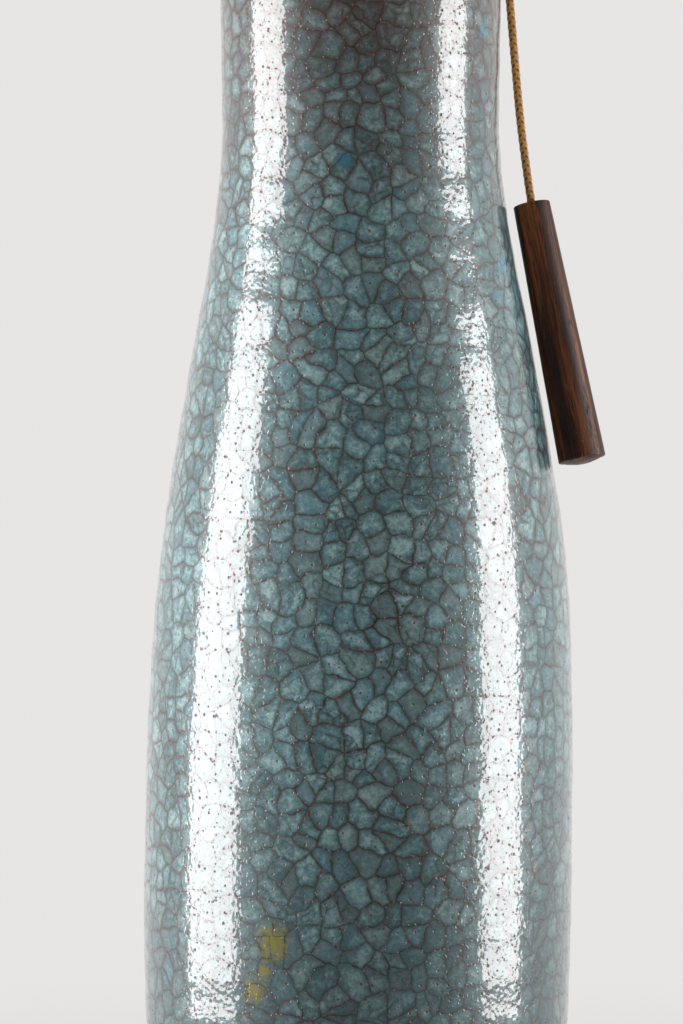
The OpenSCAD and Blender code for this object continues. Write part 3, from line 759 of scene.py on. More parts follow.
    def relief(self, graph: Graph, place: Socket, near: Socket, small: Socket, lines: Socket,
               holes: Socket) -> Socket:
        """Swell each cell a little, sink the holes, and give the glaze its orange peel.

        Args:
            graph: Graph to add to.
            place: The object's own coordinates.
            near: Distance to the nearest crack, in millimetres.
            small: The same for the finer set alone.
            lines: Mask of the cracks.
            holes: Mask of the burst bubbles.

        Returns:
            The tilted normal.
        """
        rise = self.heights
        peel = graph.noise(place, rise.peel_scale, 0).outputs["Fac"]
        waves = graph.noise(place, rise.wave_scale, 1).outputs["Fac"]
        bubbles = graph.step(graph.noise(place, rise.bubble_scale, 0).outputs["Fac"], 0.64, 0.84)
        swell = graph.step(near, 0.0, 1.6, 0.0, rise.swell)
        facet = graph.step(small, 0.0, 0.9, 0.0, rise.facet)
        height = graph.math("ADD", swell, facet)
        layers = ((lines, rise.line), (holes, rise.hole), (peel, rise.peel), (bubbles, rise.bubble),
                  (waves, rise.wave))
        for layer, amount in layers:
            height = graph.math("MULTIPLY_ADD", layer, amount, height)
        return graph.bump(height, rise.depth)


@dataclass(frozen=True)
class DarkWood:
    """Oiled dark hardwood, with its grain along the Z of its own coordinates.

    Attributes:
        name: Name of the material.
        attribute: Kept vector that tells the place in the wood, or nothing.
        turned: Angles that lay the grain along Z.
        dark: Darkest streak.
        middle: Streak between.
        light: Palest streak.
    """

    name: str = "dark_wood"
    attribute: str | None = "grain"
    turned: tuple[float, float, float] = (0.0, 0.0, 0.0)
    dark: Colour = linear(20, 9, 6)
    middle: Colour = linear(74, 37, 20)
    light: Colour = linear(172, 98, 52)

    def build(self) -> bpy.types.Material:
        """Make the material.

        Returns:
            The material.
        """
        made, graph, shader = shaded(self.name, IOR=1.42)
        place = graph.node("ShaderNodeMapping", {"Vector": graph.place(self.attribute),
                                                 "Rotation": self.turned}).outputs[0]
        grain = graph.group(wood_grain(), {"Place": place})
        wear = graph.group(handling_wear(), {"Place": place})
        stops = ((0.34, self.dark), (0.5, self.middle), (0.68, self.light))
        colour = graph.ramp(grain.outputs["Streak"], stops)
        colour = graph.mix(graph.math("MULTIPLY", grain.outputs["Pore"], 0.7), colour, linear(24, 13, 10))
        graph.feed(shader.inputs["Base Color"], colour)
        dull = graph.math("MULTIPLY_ADD", wear.outputs["Smear"], 0.25, 0.3)
        graph.feed(shader.inputs["Roughness"], graph.math("MULTIPLY_ADD", grain.outputs["Pore"], 0.2, dull))
        graph.feed(shader.inputs["Normal"], graph.bump(grain.outputs["Height"], 0.05 * MM))
        return made


@dataclass(frozen=True)
class BraidedYarn:
    """Golden braided yarn, with dark threads, and painted shade where the strands dip.

    Attributes:
        gold: Colour of the strands' tops.
        deep: Colour of the painted shade where they dip.
        dark: Colour of the dark threads.
    """

    gold: Colour = linear(244, 182, 100)
    deep: Colour = linear(170, 104, 46)
    dark: Colour = linear(112, 56, 28)

    def build(self) -> bpy.types.Material:
        """Make the material.

        Returns:
            The material.
        """
        made, graph, shader = shaded("braided_yarn", Roughness=0.78, Sheen_Weight=0.35, Sheen_Roughness=0.5)
        place = graph.place()
        hairs = graph.noise(graph.vector("MULTIPLY", place, (1.0, 1.0, 0.3)), 5200, 2, 0.7).outputs["Fac"]
        blotch = graph.noise(place, 210, 2).outputs["Fac"]
        # Darker where the strands dip between each other: painted shade.
        dip = graph.math("ADD", graph.kept("lift"), graph.math("MULTIPLY_ADD", hairs, 0.5, -0.25))
        colour = graph.ramp(dip, ((0.15, self.deep), (0.75, self.gold)))
        colour = graph.mix(graph.step(blotch, 0.35, 0.8, 0.0, 0.4), colour, linear(176, 116, 60))
        fleck = graph.math("MULTIPLY", graph.kept("fleck"), graph.step(hairs, 0.25, 0.5, 0.55, 1.0))
        graph.feed(shader.inputs["Base Color"], graph.mix(fleck, colour, self.dark))
        graph.feed(shader.inputs["Normal"], graph.bump(hairs, 0.08 * MM))
        return made


@dataclass(frozen=True)
class Linen:
    """Slubbed linen, read from the cloth's own map in metres, with painted shade between the threads.

    Attributes:
        name: Name of the material.
        pitch: Distance of the threads in metres.
        pale: Colour of the paler threads.
        deep: Colour of the deeper threads.
    """

    name: str
    pitch: float
    pale: Colour
    deep: Colour

    def build(self) -> bpy.types.Material:
        """Make the material.

        Returns:
            The material.
        """
        made, graph, shader = shaded(self.name, Roughness=0.85, Sheen_Weight=0.25, Sheen_Roughness=0.4)
        chart = graph.node("ShaderNodeUVMap", uv_map="cloth").outputs[0]
        weave = graph.group(plain_weave(), {"Place": chart, "Pitch": self.pitch})
        aged = graph.noise(graph.place(), 9, 3, 0.6).outputs["Fac"]
        colour = graph.mix(graph.step(weave.outputs["Shade"], 0.3, 0.72), self.deep, self.pale)
        colour = graph.mix(graph.math("MULTIPLY", weave.outputs["Slub"], 0.4), colour, linear(250, 244, 230))
        # Darker where the threads sink, between and under each other: painted shade.
        gap = graph.step(weave.outputs["Height"], 0.25, 0.95, 0.42, 0.0)
        colour = graph.mix(gap, colour, linear(168, 154, 128))
        colour = graph.mix(graph.step(aged, 0.45, 0.8, 0.0, 0.25), colour, self.deep)
        graph.feed(shader.inputs["Base Color"], colour)
        graph.feed(shader.inputs["Normal"], graph.bump(weave.outputs["Height"], 0.12 * MM))
        return made


@dataclass(frozen=True)
class Metal:
    """Plain metal with fine turning lines and a little tarnish.

    Attributes:
        name: Name of the material.
        bright: Colour of the clean metal.
        tarnish: Colour of the tarnish.
        rough: Middle roughness.
    """

    name: str
    bright: Colour
    tarnish: Colour
    rough: float = 0.26

    def build(self) -> bpy.types.Material:
        """Make the material.

        Returns:
            The material.
        """
        made, graph, shader = shaded(self.name, Metallic=1.0)
        place = graph.place()
        wear = graph.group(handling_wear(), {"Place": place})
        lines = graph.noise(graph.vector("MULTIPLY", place, (0.06, 0.06, 1.0)), 3200, 2, 0.6).outputs["Fac"]
        patch = graph.step(wear.outputs["Smear"], 0.42, 0.72, 0.0, 0.75)
        colour = graph.mix(patch, self.bright, self.tarnish)
        colour = graph.mix(graph.math("MULTIPLY", wear.outputs["Dust"], 0.3), colour, linear(150, 140, 120))
        graph.feed(shader.inputs["Base Color"], colour)
        dull = graph.math("MULTIPLY_ADD", lines, 0.16, self.rough - 0.08)
        graph.feed(shader.inputs["Roughness"], graph.math("MULTIPLY_ADD", patch, 0.14, dull))
        graph.feed(shader.inputs["Normal"], graph.bump(lines, 0.01 * MM))
        return made


@dataclass(frozen=True)
class Moulded:
    """Moulded or pressed stuff of one colour, with mottling, wear and a fine skin.

    Attributes:
        name: Name of the material.
        base: Main colour.
        mottled: Colour of the patches.
        rough: Middle roughness.
        grain_scale: Scale of the skin.
        grain_depth: Depth of the skin in millimetres.
        patch_scale: Scale of the patches.
    """

    name: str
    base: Colour
    mottled: Colour
    rough: float = 0.35
    grain_scale: float = 900.0
    grain_depth: float = 0.02
    patch_scale: float = 120.0

    def build(self) -> bpy.types.Material:
        """Make the material.

        Returns:
            The material.
        """
        made, graph, shader = shaded(self.name, IOR=1.5)
        place = graph.place()
        wear = graph.group(handling_wear(), {"Place": place})
        patch = graph.noise(place, self.patch_scale, 4, 0.65).outputs["Fac"]
        skin = graph.noise(place, self.grain_scale, 3, 0.6).outputs["Fac"]
        colour = graph.mix(graph.step(patch, 0.35, 0.7), self.base, self.mottled)
        colour = graph.mix(graph.math("MULTIPLY", wear.outputs["Dust"], 0.12), colour, linear(190, 184, 170))
        graph.feed(shader.inputs["Base Color"], colour)
        dull = graph.math("MULTIPLY_ADD", wear.outputs["Smear"], 0.2, self.rough - 0.1)
        graph.feed(shader.inputs["Roughness"], dull)
        height = graph.math("MULTIPLY_ADD", wear.outputs["Scratch"], 0.15, skin)
        graph.feed(shader.inputs["Normal"], graph.bump(height, self.grain_depth * MM))
        return made


@dataclass(frozen=True)
class ClearGlass:
    """Blown glass, clear or lightly frosted.

    Attributes:
        name: Name of the material.
        tint: Colour of the light let through.
        rough: Roughness of the clean glass.
    """

    name: str
    tint: Colour = (0.97, 0.97, 0.95)
    rough: float = 0.02

    def build(self) -> bpy.types.Material:
        """Make the material.

        Returns:
            The material.
        """
        made, graph, shader = shaded(self.name, Transmission_Weight=1.0, IOR=1.45, Base_Color=self.tint)
        wear = graph.group(handling_wear(), {"Place": graph.place()})
        graph.feed(shader.inputs["Roughness"],
                   graph.math("MULTIPLY_ADD", graph.step(wear.outputs["Smear"], 0.5, 0.8), 0.06, self.rough))
        return made


def mesh_piece(name: str, points: np.ndarray, faces: Sequence[Sequence[int]] | np.ndarray, body: Body,
               material: bpy.types.Material, replaced: Sequence[str] = ()) -> bpy.types.Object:
    """Make a smooth mesh, dress it and let it ride on its body.

    Args:
        name: Name of the piece.
        points: Points, in metres, one a row.
        faces: Corners of each face.
        body: Body that the piece rides on.
        material: Its finish.
        replaced: CAD nodes that it stands for.

    Returns:
        The piece.
    """
    mesh = bpy.data.meshes.new(name)
    mesh.from_pydata(points.reshape(-1, 3).tolist(), [], [list(face) for face in faces])
    mesh.validate()
    mesh.polygons.foreach_set("use_smooth", np.ones(len(mesh.polygons), bool))
    mesh.materials.append(material)
    made = bpy.data.objects.new(name, mesh)
    bpy.context.scene.collection.objects.link(made)
    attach(made, body.value)
    if replaced:
        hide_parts(*replaced)
    LOG.info("%s: %d faces on %s", name, len(mesh.polygons), body.value)
    return made


def grid_faces(rows: int, columns: int, closed: bool) -> np.ndarray:
    """Join rows of points, each a ring, into four-cornered faces.

    Args:
        rows: Number of rows.
        columns: Points in a row.
        closed: Whether the last row joins the first.

    Returns:
        Corners of the faces, four a row.
    """
    row = np.arange(rows if closed else rows - 1)[:, None]
    column = np.arange(columns)[None, :]
    after_row = (row + 1) % rows
    after_column = (column + 1) % columns
    corners = (row * columns + column, row * columns + after_column,
               after_row * columns + after_column, after_row * columns + column)
    return np.stack(np.broadcast_arrays(*corners), axis=-1).reshape(-1, 4)


def capped_faces(rows: int, columns: int, first: int = 0) -> list[list[int]]:
    """Join rows of points, each a ring, and close the first and last row with a face.

    Args:
        rows: Number of rows.
        columns: Points in a row.
        first: Number of the first point.

    Returns:
        Corners of each face.
    """
    faces = (grid_faces(rows, columns, False) + first).tolist()
    last = first + (rows - 1) * columns
    faces.append(list(range(first, first + columns))[::-1])
    faces.append(list(range(last, last + columns)))
    return faces


def push_out(points: np.ndarray, out: np.ndarray) -> None:
    """Move points away from the Z axis: x and y grow by 1 + out / radius.

    Args:
        points: Points, with x, y and z last.
        out: How far each goes.
    """
    radius = np.hypot(points[..., 0], points[..., 1])
    points[..., :2] *= (1 + out / radius)[..., None]


def turned_points(profile: np.ndarray, columns: int) -> np.ndarray:
    """Turn a profile about Z: a point of radius r and height z goes to r cos a, r sin a, z.

    Args:
        profile: Radius and height of each point, one a row.
        columns: Number of steps round.

    Returns:
        Points, by row, column and axis.
    """
    angles = TURN * np.arange(columns) / columns
    radius = profile[:, 0][:, None]
    across = np.broadcast_to(profile[:, 1][:, None], (len(profile), columns))
    return np.stack([radius * np.cos(angles), radius * np.sin(angles), across], axis=-1)


def arc(centre: tuple[float, float], radius: float, start: float, stop: float, steps: int) -> np.ndarray:
    """Points on an arc, from one angle in degrees to another.

    Args:
        centre: Middle of the arc.
        radius: Its radius.
        start: First angle.
        stop: Last angle.
        steps: Number of points.

    Returns:
        Both coordinates of each point.
    """
    angles = np.radians(np.linspace(start, stop, steps))
    return np.stack([centre[0] + radius * np.cos(angles), centre[1] + radius * np.sin(angles)], axis=-1)


def keep_numbers(piece: bpy.types.Object, name: str, values: np.ndarray) -> None:
    """Keep one number, or one vector, a point on the mesh.

    Args:
        piece: Piece that keeps them.
        name: Name to keep them under.
        values: A number or a vector a point.
    """
    kind, label = ("FLOAT", "value") if values.ndim == 1 else ("FLOAT_VECTOR", "vector")
    made = piece.data.attributes.new(name, kind, "POINT")
    made.data.foreach_set(label, np.ascontiguousarray(values, np.float32).ravel())


def keep_chart(piece: bpy.types.Object, chart: np.ndarray) -> None:
    """Keep the cloth's own map, given one corner of a face a row.

    Args:
        piece: The cloth.
        chart: Place on the map of each face's corners.
    """
    layer = piece.data.uv_layers.new(name="cloth")
    layer.data.foreach_set("uv", np.ascontiguousarray(chart, np.float32).ravel())


def smooth_route(points: Sequence[Sequence[float]], steps: int) -> np.ndarray:
    """Follow a route's points by a smooth curve.

    Each span is a cubic whose slope at a point is half the step between its neighbours.

    Args:
        points: Points of the route.
        steps: Steps in each span.

    Returns:
        Points of the curve, in the units of the route.
    """
    route = np.asarray(points, float)
    padded = np.vstack([route[0], route, route[-1]])
    a, b, c, d = (padded[i : len(route) - 1 + i][:, None, :] for i in range(4))
    t = (np.arange(steps) / steps)[None, :, None]
    square = (2 * a - 5 * b + 4 * c - d) * t**2
    cube = (3 * b - a - 3 * c + d) * t**3
    curve = 0.5 * (2 * b + (c - a) * t + square + cube)
    return np.vstack([curve.reshape(-1, route.shape[1]), route[-1]])


@dataclass(frozen=True)
class Side:
    """A side lamp and the panel near it that the glaze mirrors.

    Attributes:
        name: Name of the side.
        lamp_azimuth: Angle of the lamp from the camera's direction, in degrees.
        panel_azimuth: The same of the panel.
        panel_size: Width and height of the panel.
        share: Share of the side lamps' brightness.
    """

    name: str
    lamp_azimuth: float
    panel_azimuth: float
    panel_size: tuple[float, float]
    share: float


@dataclass
class Studio:
    """Pale floor, soft lights and the camera at the photograph's angle.

    Attributes:
        shown_height: Height of the stretch that the photograph shows.
        middle: Place across and up of its middle.
        distance: Distance of the camera from the body's axis.
        floor_size: Width of the floor.
        pale: Colour of the floor and of the room.
        box_distance: Distance of the side lamps from the body's axis.
        box_light: Brightness of the side lamps, where 1 is white.
        gleam_distance: Distance of the panels that only a mirror shows.
        gleam_light: Brightness of those panels.
        ambient: Brightness of the room's own light.
        front_dim: How bright the camera's side of the room is in a mirror.
        box_size: Width and height of the side lamps.
        box_z: Height of their middle.
        panel_tint: Colour of the panels.
        top_light: Brightness of the lamp overhead.
        top_at: Place of that lamp.
        top_target_z: Height of the place that it faces.
        top_size: Its width.
        fade: Distances on the floor between which it takes on the wall's colour, and the
            share of it that it starts with.
        air: Colour of the room's own light.
        front_span: Forward parts of a direction between which a mirror's dimming fades.
        sides: The two side lamps and their panels.
    """

    shown_height: float = 0.2695
    middle: tuple[float, float] = (-0.0051, 0.2147)
    distance: float = 1.1
    floor_size: float = 24.0
    pale: Colour = (0.80, 0.79, 0.775)
    box_distance: float = 1.0
    box_light: float = 3.7
    gleam_distance: float = 0.55
    gleam_light: float = 6.3
    ambient: float = 0.08
    front_dim: float = 0.14
    box_size: tuple[float, float] = (0.9, 0.88)
    box_z: float = 0.57
    panel_tint: Colour = (1.0, 0.97, 0.965)
    top_light: float = 0.6
    top_at: tuple[float, float, float] = (0.0, -0.3, 2.2)
    top_target_z: float = 0.3
    top_size: float = 1.8
    fade: tuple[float, float, float] = (0.15, 0.85, 0.6)
    air: Colour = (0.96, 0.98, 1.0)
    front_span: tuple[float, float] = (-1.0, -0.3)
    sides: tuple[Side, ...] = (Side("left", -90.0, -81.5, (0.315, 0.4515), 1.2),
                               Side("right", 92.0, 78.5, (0.25, 0.444), 0.74))

    def camera(self) -> bpy.types.Object:
        """Put the camera level with the middle of the photographed stretch.

        Returns:
            The camera.
        """
        data = bpy.data.cameras.new("photo_camera")
        data.sensor_width = 36.0
        data.lens = data.sensor_width * self.distance / self.shown_height
        made = bpy.data.objects.new("photo_camera", data)
        made.location = (self.middle[0], -self.distance, self.middle[1])
        made.rotation_euler = (math.pi / 2, 0.0, 0.0)
        bpy.context.scene.collection.objects.link(made)
        bpy.context.scene.camera = made
        return made

    def soft_box(self, name: str, centre: Vector, target: Vector, size: tuple[float, float],
                 light: float) -> bpy.types.Object:
        """Hang one large lamp that the camera doesn't see.

        Args:
            name: Name of the lamp.
            centre: Its middle.
            target: What it faces.
            size: Its width and height.
            light: Brightness of its face, where 1 is white.

        Returns:
            The lamp.
        """
        data = bpy.data.lights.new(name, "AREA")
        data.shape = "RECTANGLE"
        data.size, data.size_y = size
        data.energy = light * math.pi * size[0] * size[1]
        made = bpy.data.objects.new(name, data)
        made.location = centre
        made.rotation_euler = (target - centre).to_track_quat("-Z", "Y").to_euler()
        made.visible_camera = False
        bpy.context.scene.collection.objects.link(made)
        return made

    @staticmethod
    def outward(azimuth: float) -> Vector:
        """Level direction from the body's axis, by its angle in degrees from the camera's.

        Args:
            azimuth: The angle in degrees.

        Returns:
            The direction, one metre long.
        """
        turn = math.radians(azimuth)
        return Vector((math.sin(turn), -math.cos(turn), 0.0))

    def lights(self) -> None:
        """Place two large side lamps, the two panels that the glaze mirrors, and a top light."""
        for side in self.sides:
            middle = Vector((0.0, 0.0, self.box_z))
            centre = self.outward(side.lamp_azimuth) * self.box_distance + middle
            light = side.share * self.box_light
            lamp = self.soft_box(f"{side.name}_lamp", centre, middle, self.box_size, light)
            lamp.visible_glossy = False
            middle = Vector((0.0, 0.0, side.panel_size[1] / 2 + 1 * MM))
            centre = self.outward(side.panel_azimuth) * self.gleam_distance + middle
            panel = self.soft_box(f"{side.name}_panel", centre, middle, side.panel_size, self.gleam_light)
            panel.data.color = self.panel_tint
            panel.visible_diffuse = False
            panel.visible_transmission = False
        target = Vector((0.0, 0.0, self.top_target_z))
        self.soft_box("top_lamp", Vector(self.top_at), target, (self.top_size, self.top_size),
                      self.top_light)

    def room(self, graph: Graph, outward: Socket) -> tuple[Socket, Socket]:
        """Tell the rays that look at the room from those that light the object.

        Args:
            graph: Graph to add to.
            outward: Direction of the looked-at place from the body's axis.

        Returns:
            A mask of camera, mirror and glass rays, and how bright the room shows to them,
            which is less in a mirror towards the camera's side.
        """
        rays = graph.node("ShaderNodeLightPath").outputs
        through = graph.math("MAXIMUM", rays["Is Glossy Ray"], rays["Is Transmission Ray"])
        _, away, _ = graph.parts(outward)
        towards_camera = graph.step(away, *self.front_span, 1.0 - self.front_dim, 0.0)
        dim = graph.math("MULTIPLY", rays["Is Glossy Ray"], towards_camera)
        return graph.math("MAXIMUM", rays["Is Camera Ray"], through), graph.math("SUBTRACT", 1.0, dim)

    def floor(self) -> None:
        """Lay the pale floor, which keeps the shadow and is clear from below.

        Towards its far parts it takes on the wall's colour.
        """
        half = self.floor_size / 2
        corners = [(-half, -half, 0.0), (half, -half, 0.0), (half, half, 0.0), (-half, half, 0.0)]
        mesh = bpy.data.meshes.new("floor")
        mesh.from_pydata(corners, [], [(0, 1, 2, 3)])
        made = bpy.data.materials.new("floor_paint")
        made.use_nodes = True
        made.node_tree.nodes.clear()
        graph = Graph(made.node_tree)
        seen, bright = self.room(graph, graph.vector("NORMALIZE", graph.place()))
        out = graph.node("ShaderNodeVectorMath", operation="LENGTH")
        graph.feed(out.inputs[0], graph.place())
        far = graph.step(out.outputs["Value"], *self.fade, 1.0)
        paint = graph.node("ShaderNodeBsdfDiffuse", {"Color": self.pale})
        wall = graph.node("ShaderNodeEmission", {"Color": self.pale, "Strength": bright})
        both = graph.node("ShaderNodeMixShader", {"Fac": graph.math("MULTIPLY", far, seen)})
        graph.feed(both.inputs[1], paint.outputs[0])
        graph.feed(both.inputs[2], wall.outputs[0])
        under = graph.node("ShaderNodeNewGeometry").outputs["Backfacing"]
        sides = graph.node("ShaderNodeMixShader", {"Fac": under})
        graph.feed(sides.inputs[1], both.outputs[0])
        graph.feed(sides.inputs[2], graph.node("ShaderNodeBsdfTransparent").outputs[0])
        graph.feed(graph.node("ShaderNodeOutputMaterial").inputs["Surface"], sides.outputs[0])
        mesh.materials.append(made)
        floor = bpy.data.objects.new("floor", mesh)
        bpy.context.scene.collection.objects.link(floor)

    def world(self) -> None:
        """Fill the room with soft light and show pale walls, dimmer in a mirror on the camera's side."""
        world = bpy.data.worlds.new("studio")
        world.use_nodes = True
        world.node_tree.nodes.clear()
        graph = Graph(world.node_tree)
        seen, bright = self.room(graph, graph.node("ShaderNodeTexCoord").outputs["Generated"])
        light = graph.node("ShaderNodeBackground", {"Color": self.air, "Strength": self.ambient})
        wall = graph.node("ShaderNodeBackground", {"Color": self.pale, "Strength": bright})
        both = graph.node("ShaderNodeMixShader", {"Fac": seen})
        graph.feed(both.inputs[1], light.outputs[0])
        graph.feed(both.inputs[2], wall.outputs[0])
        graph.feed(graph.node("ShaderNodeOutputWorld").inputs["Surface"], both.outputs[0])
        bpy.context.scene.world = world


@dataclass
class PullCord:
    """The braided cord from its ferrule under the switch to the wooden pull.

    Attributes:
        route: Points of the part's own route, in metres.
        radius: Radius over the strands.
        carriers: Strands each way round.
        pitch: Length in which a strand crosses the next of its own kind.
        ring_step: Distance between two rings of the mesh.
        sides: Points in a ring.
        exit: Where the cord leaves the ferrule; not used.
        dip: Share of the radius that is left between the strands.
        rise: Share that a strand adds.
        cross: Share of that by which the upper strand lies above the lower.
    """

    route: tuple[tuple[float, float, float], ...] = (
        (0.035, 0, 0.416), (0.035, 0, 0.411), (0.0356, 0.0001, 0.4), (0.0366, 0.0004, 0.385),
        (0.0377, 0.001, 0.37), (0.0386, 0.0015, 0.358), (0.0394, 0.0019, 0.348),
        (0.0406, 0.0024, 0.334), (0.0421, 0.0029, 0.318), (0.0439, 0.0033, 0.304),
        (0.0451, 0.0035, 0.296), (0.0455, 0.0033, 0.2936))
    radius: float = 1.1 * MM
    carriers: int = 3
    pitch: float = 2.3 * MM
    ring_step: float = 0.1 * MM
    sides: int = 36
    exit: tuple[float, float, float] = (0.035, 0.0, 0.41212)
    dip: float = 0.84
    rise: float = 0.17
    cross: float = 0.2

    def build(self) -> bpy.types.Object:
        """Sweep a braid along the route.

        The two families of strands are a and b, where a is the angle times the carriers
        plus the turn along the length, and b is the same minus the turn. Each rises as
        the root of the cosine of half its phase, and their product says which lies on top.

        Returns:
            The cord.
        """
        line = smooth_route(self.route, 24)
        steps = np.linalg.norm(np.diff(line, axis=0), axis=1)
        travelled = np.concatenate([[0.0], np.cumsum(steps)])
        length = float(travelled[-1])
        along = np.linspace(0.0, length, int(length / self.ring_step))
        centre = np.stack([np.interp(along, travelled, line[:, axis]) for axis in range(3)], axis=-1)
        tangent = np.gradient(centre, axis=0)
        tangent /= np.linalg.norm(tangent, axis=1)[:, None]
        side = np.cross([0.0, 1.0, 0.0], tangent)
        side /= np.linalg.norm(side, axis=1)[:, None]
        other = np.cross(tangent, side)
        angle = (TURN * np.arange(self.sides) / self.sides)[None, :]
        turn = (TURN * along / self.pitch)[:, None]
        a = self.carriers * angle + turn
        b = self.carriers * angle - turn
        weave = np.cos(a / 2) * np.cos(b / 2)
        over_a = np.sqrt(np.abs(np.cos(a / 2))) * (1 - self.cross + self.cross * weave)
        over_b = np.sqrt(np.abs(np.cos(b / 2))) * (1 - self.cross - self.cross * weave)
        lift = np.maximum(over_a, over_b)
        dark_a = np.clip(4 * (np.cos(a / 2) ** 2 - 0.6), 0, 1) * np.clip(3 * weave - 0.9, 0, 1)
        dark_b = np.clip(4 * (np.cos(b / 2) ** 2 - 0.6), 0, 1) * np.clip(-3 * weave - 0.9, 0, 1)
        fleck = dark_a + dark_b
        reach = self.radius * (self.dip + self.rise * lift)
        ring = np.cos(angle)[..., None] * side[:, None, :] + np.sin(angle)[..., None] * other[:, None, :]
        points = centre[:, None, :] + reach[:, :, None] * ring
        faces = capped_faces(len(along), self.sides)
        yarn = BraidedYarn().build()
        piece = mesh_piece("braided_cord", points, faces, Body.CORD, yarn, ("pull_cord",))
        # lift is the strands' height, which the yarn also uses for its painted shade where they dip.
        keep_numbers(piece, "lift", lift.ravel())
        keep_numbers(piece, "fleck", fleck.ravel())
        return piece


@dataclass
class CeramicBody:
    """The glazed body: an outline of a foot, a belly, a shoulder, a waist and a lip, turned by hand.

    Attributes:
        belly_r: Radius at the belly.
        belly_z: Height of the belly.
        waist_r: Radius at the waist.
        waist_z: Height of the waist.
        lip_r: Radius under the lip.
        foot_r: Radius at the floor.
        foot_round: Radius of the foot's edge.
        lip_round: Radius of the lip's edge.
        mouth_r: Radius of the mouth.
        mouth_round: Radius of the mouth's edge.
        wall: Thickness of the wall.
        top: Thickness under the lip.
        shoulder_ease: Power that bends the shoulder.
        recess_r: Radius of the recess under the foot.
        ledge_r: Radius inside the ledge.
        ledge_z: Height of the ledge.
        ledge_t: Thickness of the ledge.
        columns: Steps round.
        row_step: Height of a row of points.
        ripple: Depth of the throwing rings.
        ring_z: Height of a radian of the fine rings, of their drift and of the coarse rings.
        uneven: Reach, lobes and height of a radian of each sine by which it is out of round.
        low_ease: Height above the foot at which all that starts, and over which it grows.
        high_ease: The same below the lip.
        sways: Reach, middle height and half height of each bell by which the axis drifts.
        room_z: Height of the calm place behind the pull.
        room_half: Its half height.
        room_turn: Its half width as an angle.
        room_depth: How calm it is, where all above 1 is quite calm.
        inner_rise: Height above the ledge at which the inner wall starts.
        cell_power: Power of the radius by which the cells shrink.
    """

    belly_r: float = 56 * MM
    belly_z: float = 112 * MM
    waist_r: float = 36.6 * MM
    waist_z: float = 318 * MM
    lip_r: float = 37.5 * MM
    foot_r: float = 45 * MM
    foot_round: float = 3 * MM
    lip_round: float = 9 * MM
    mouth_r: float = 15 * MM
    mouth_round: float = 1.5 * MM
    wall: float = 6 * MM
    top: float = 10 * MM
    shoulder_ease: float = 1.75
    recess_r: float = 39.4 * MM
    ledge_r: float = 36 * MM
    ledge_z: float = 15 * MM
    ledge_t: float = 7 * MM
    columns: int = 300
    row_step: float = 1.35 * MM
    ripple: float = 0.11 * MM
    ring_z: tuple[float, float, float] = (2.1 * MM, 17 * MM, 5.7 * MM)
    uneven: tuple[tuple[float, int, float], ...] = ((0.16 * MM, 2, 0.06), (0.09 * MM, 5, -0.04))
    low_ease: tuple[float, float] = (4 * MM, 12 * MM)
    high_ease: tuple[float, float] = (2 * MM, 10 * MM)
    sways: tuple[tuple[float, float, float], ...] = ((0.87 * MM, 0.232, 0.05), (-0.95 * MM, 0.085, 0.075))
    room_z: float = 0.238
    room_half: float = 0.024
    room_turn: float = 0.4
    room_depth: float = 1.35
    inner_rise: float = 8 * MM
    cell_power: float = 0.9

    def __post_init__(self) -> None:
        """Take the heights of the foot and the lip from the frame."""
        low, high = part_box("ceramic_body")
        self.low_z = low.z
        self.lip_z = high.z

    def radius(self, z: np.ndarray) -> np.ndarray:
        """Radius of the outer face at some heights.

        Below the belly it falls by the square of the distance, over the shoulder it
        follows a cosine of the distance raised to a power, and over the waist it opens
        by the square again.

        Args:
            z: Heights in metres.

        Returns:
            Radii in metres.
        """
        low = np.clip((self.belly_z - z) / (self.belly_z - self.low_z), 0, 1)
        middle = np.clip((z - self.belly_z) / (self.waist_z - self.belly_z), 0, 1)
        high = np.clip((z - self.waist_z) / (self.lip_z - self.waist_z), 0, 1)
        foot = self.belly_r - (self.belly_r - self.foot_r) * low**2
        fall = (1 + np.cos(np.pi * middle**self.shoulder_ease)) / 2
        shoulder = self.waist_r + (self.belly_r - self.waist_r) * fall
        neck = self.waist_r + (self.lip_r - self.waist_r) * high**2
        return np.where(z < self.belly_z, foot, np.where(z < self.waist_z, shoulder, neck))

    def outline(self) -> np.ndarray:
        """Go round the wall, from the foot's edge up outside, over the lip and down inside.

        Returns:
            Radius and height of each point.
        """
        foot_z = self.low_z + self.foot_round
        lip_z = self.lip_z - self.lip_round
        outer_z = np.linspace(foot_z, lip_z, int((lip_z - foot_z) / self.row_step))
        outer = np.stack([self.radius(outer_z), outer_z], axis=-1)
        foot_arc = arc((outer[0, 0] - self.foot_round, foot_z), self.foot_round, -90, 0, 8)[:-1]
        lip_arc = arc((outer[-1, 0] - self.lip_round, lip_z), self.lip_round, 0, 90, 16)[1:]
        mouth_centre = (self.mouth_r + self.mouth_round, self.lip_z - self.mouth_round)
        mouth = arc(mouth_centre, self.mouth_round, 90, 180, 7)
        floor_z = self.ledge_z + self.ledge_t
        inner_z = np.linspace(self.lip_z - self.top, floor_z + self.inner_rise, 36)
        inner = np.stack([self.radius(inner_z) - self.wall, inner_z], axis=-1)
        rest = np.array([[self.ledge_r, floor_z], [self.ledge_r, self.ledge_z],
                         [self.recess_r, self.ledge_z], [self.recess_r, self.low_z]])
        neck = np.array([[self.mouth_r, self.lip_z - self.top]])
        self.outer_rows = len(foot_arc) + len(outer) + len(lip_arc)
        return np.vstack([foot_arc, outer, lip_arc, mouth, neck, inner, rest])

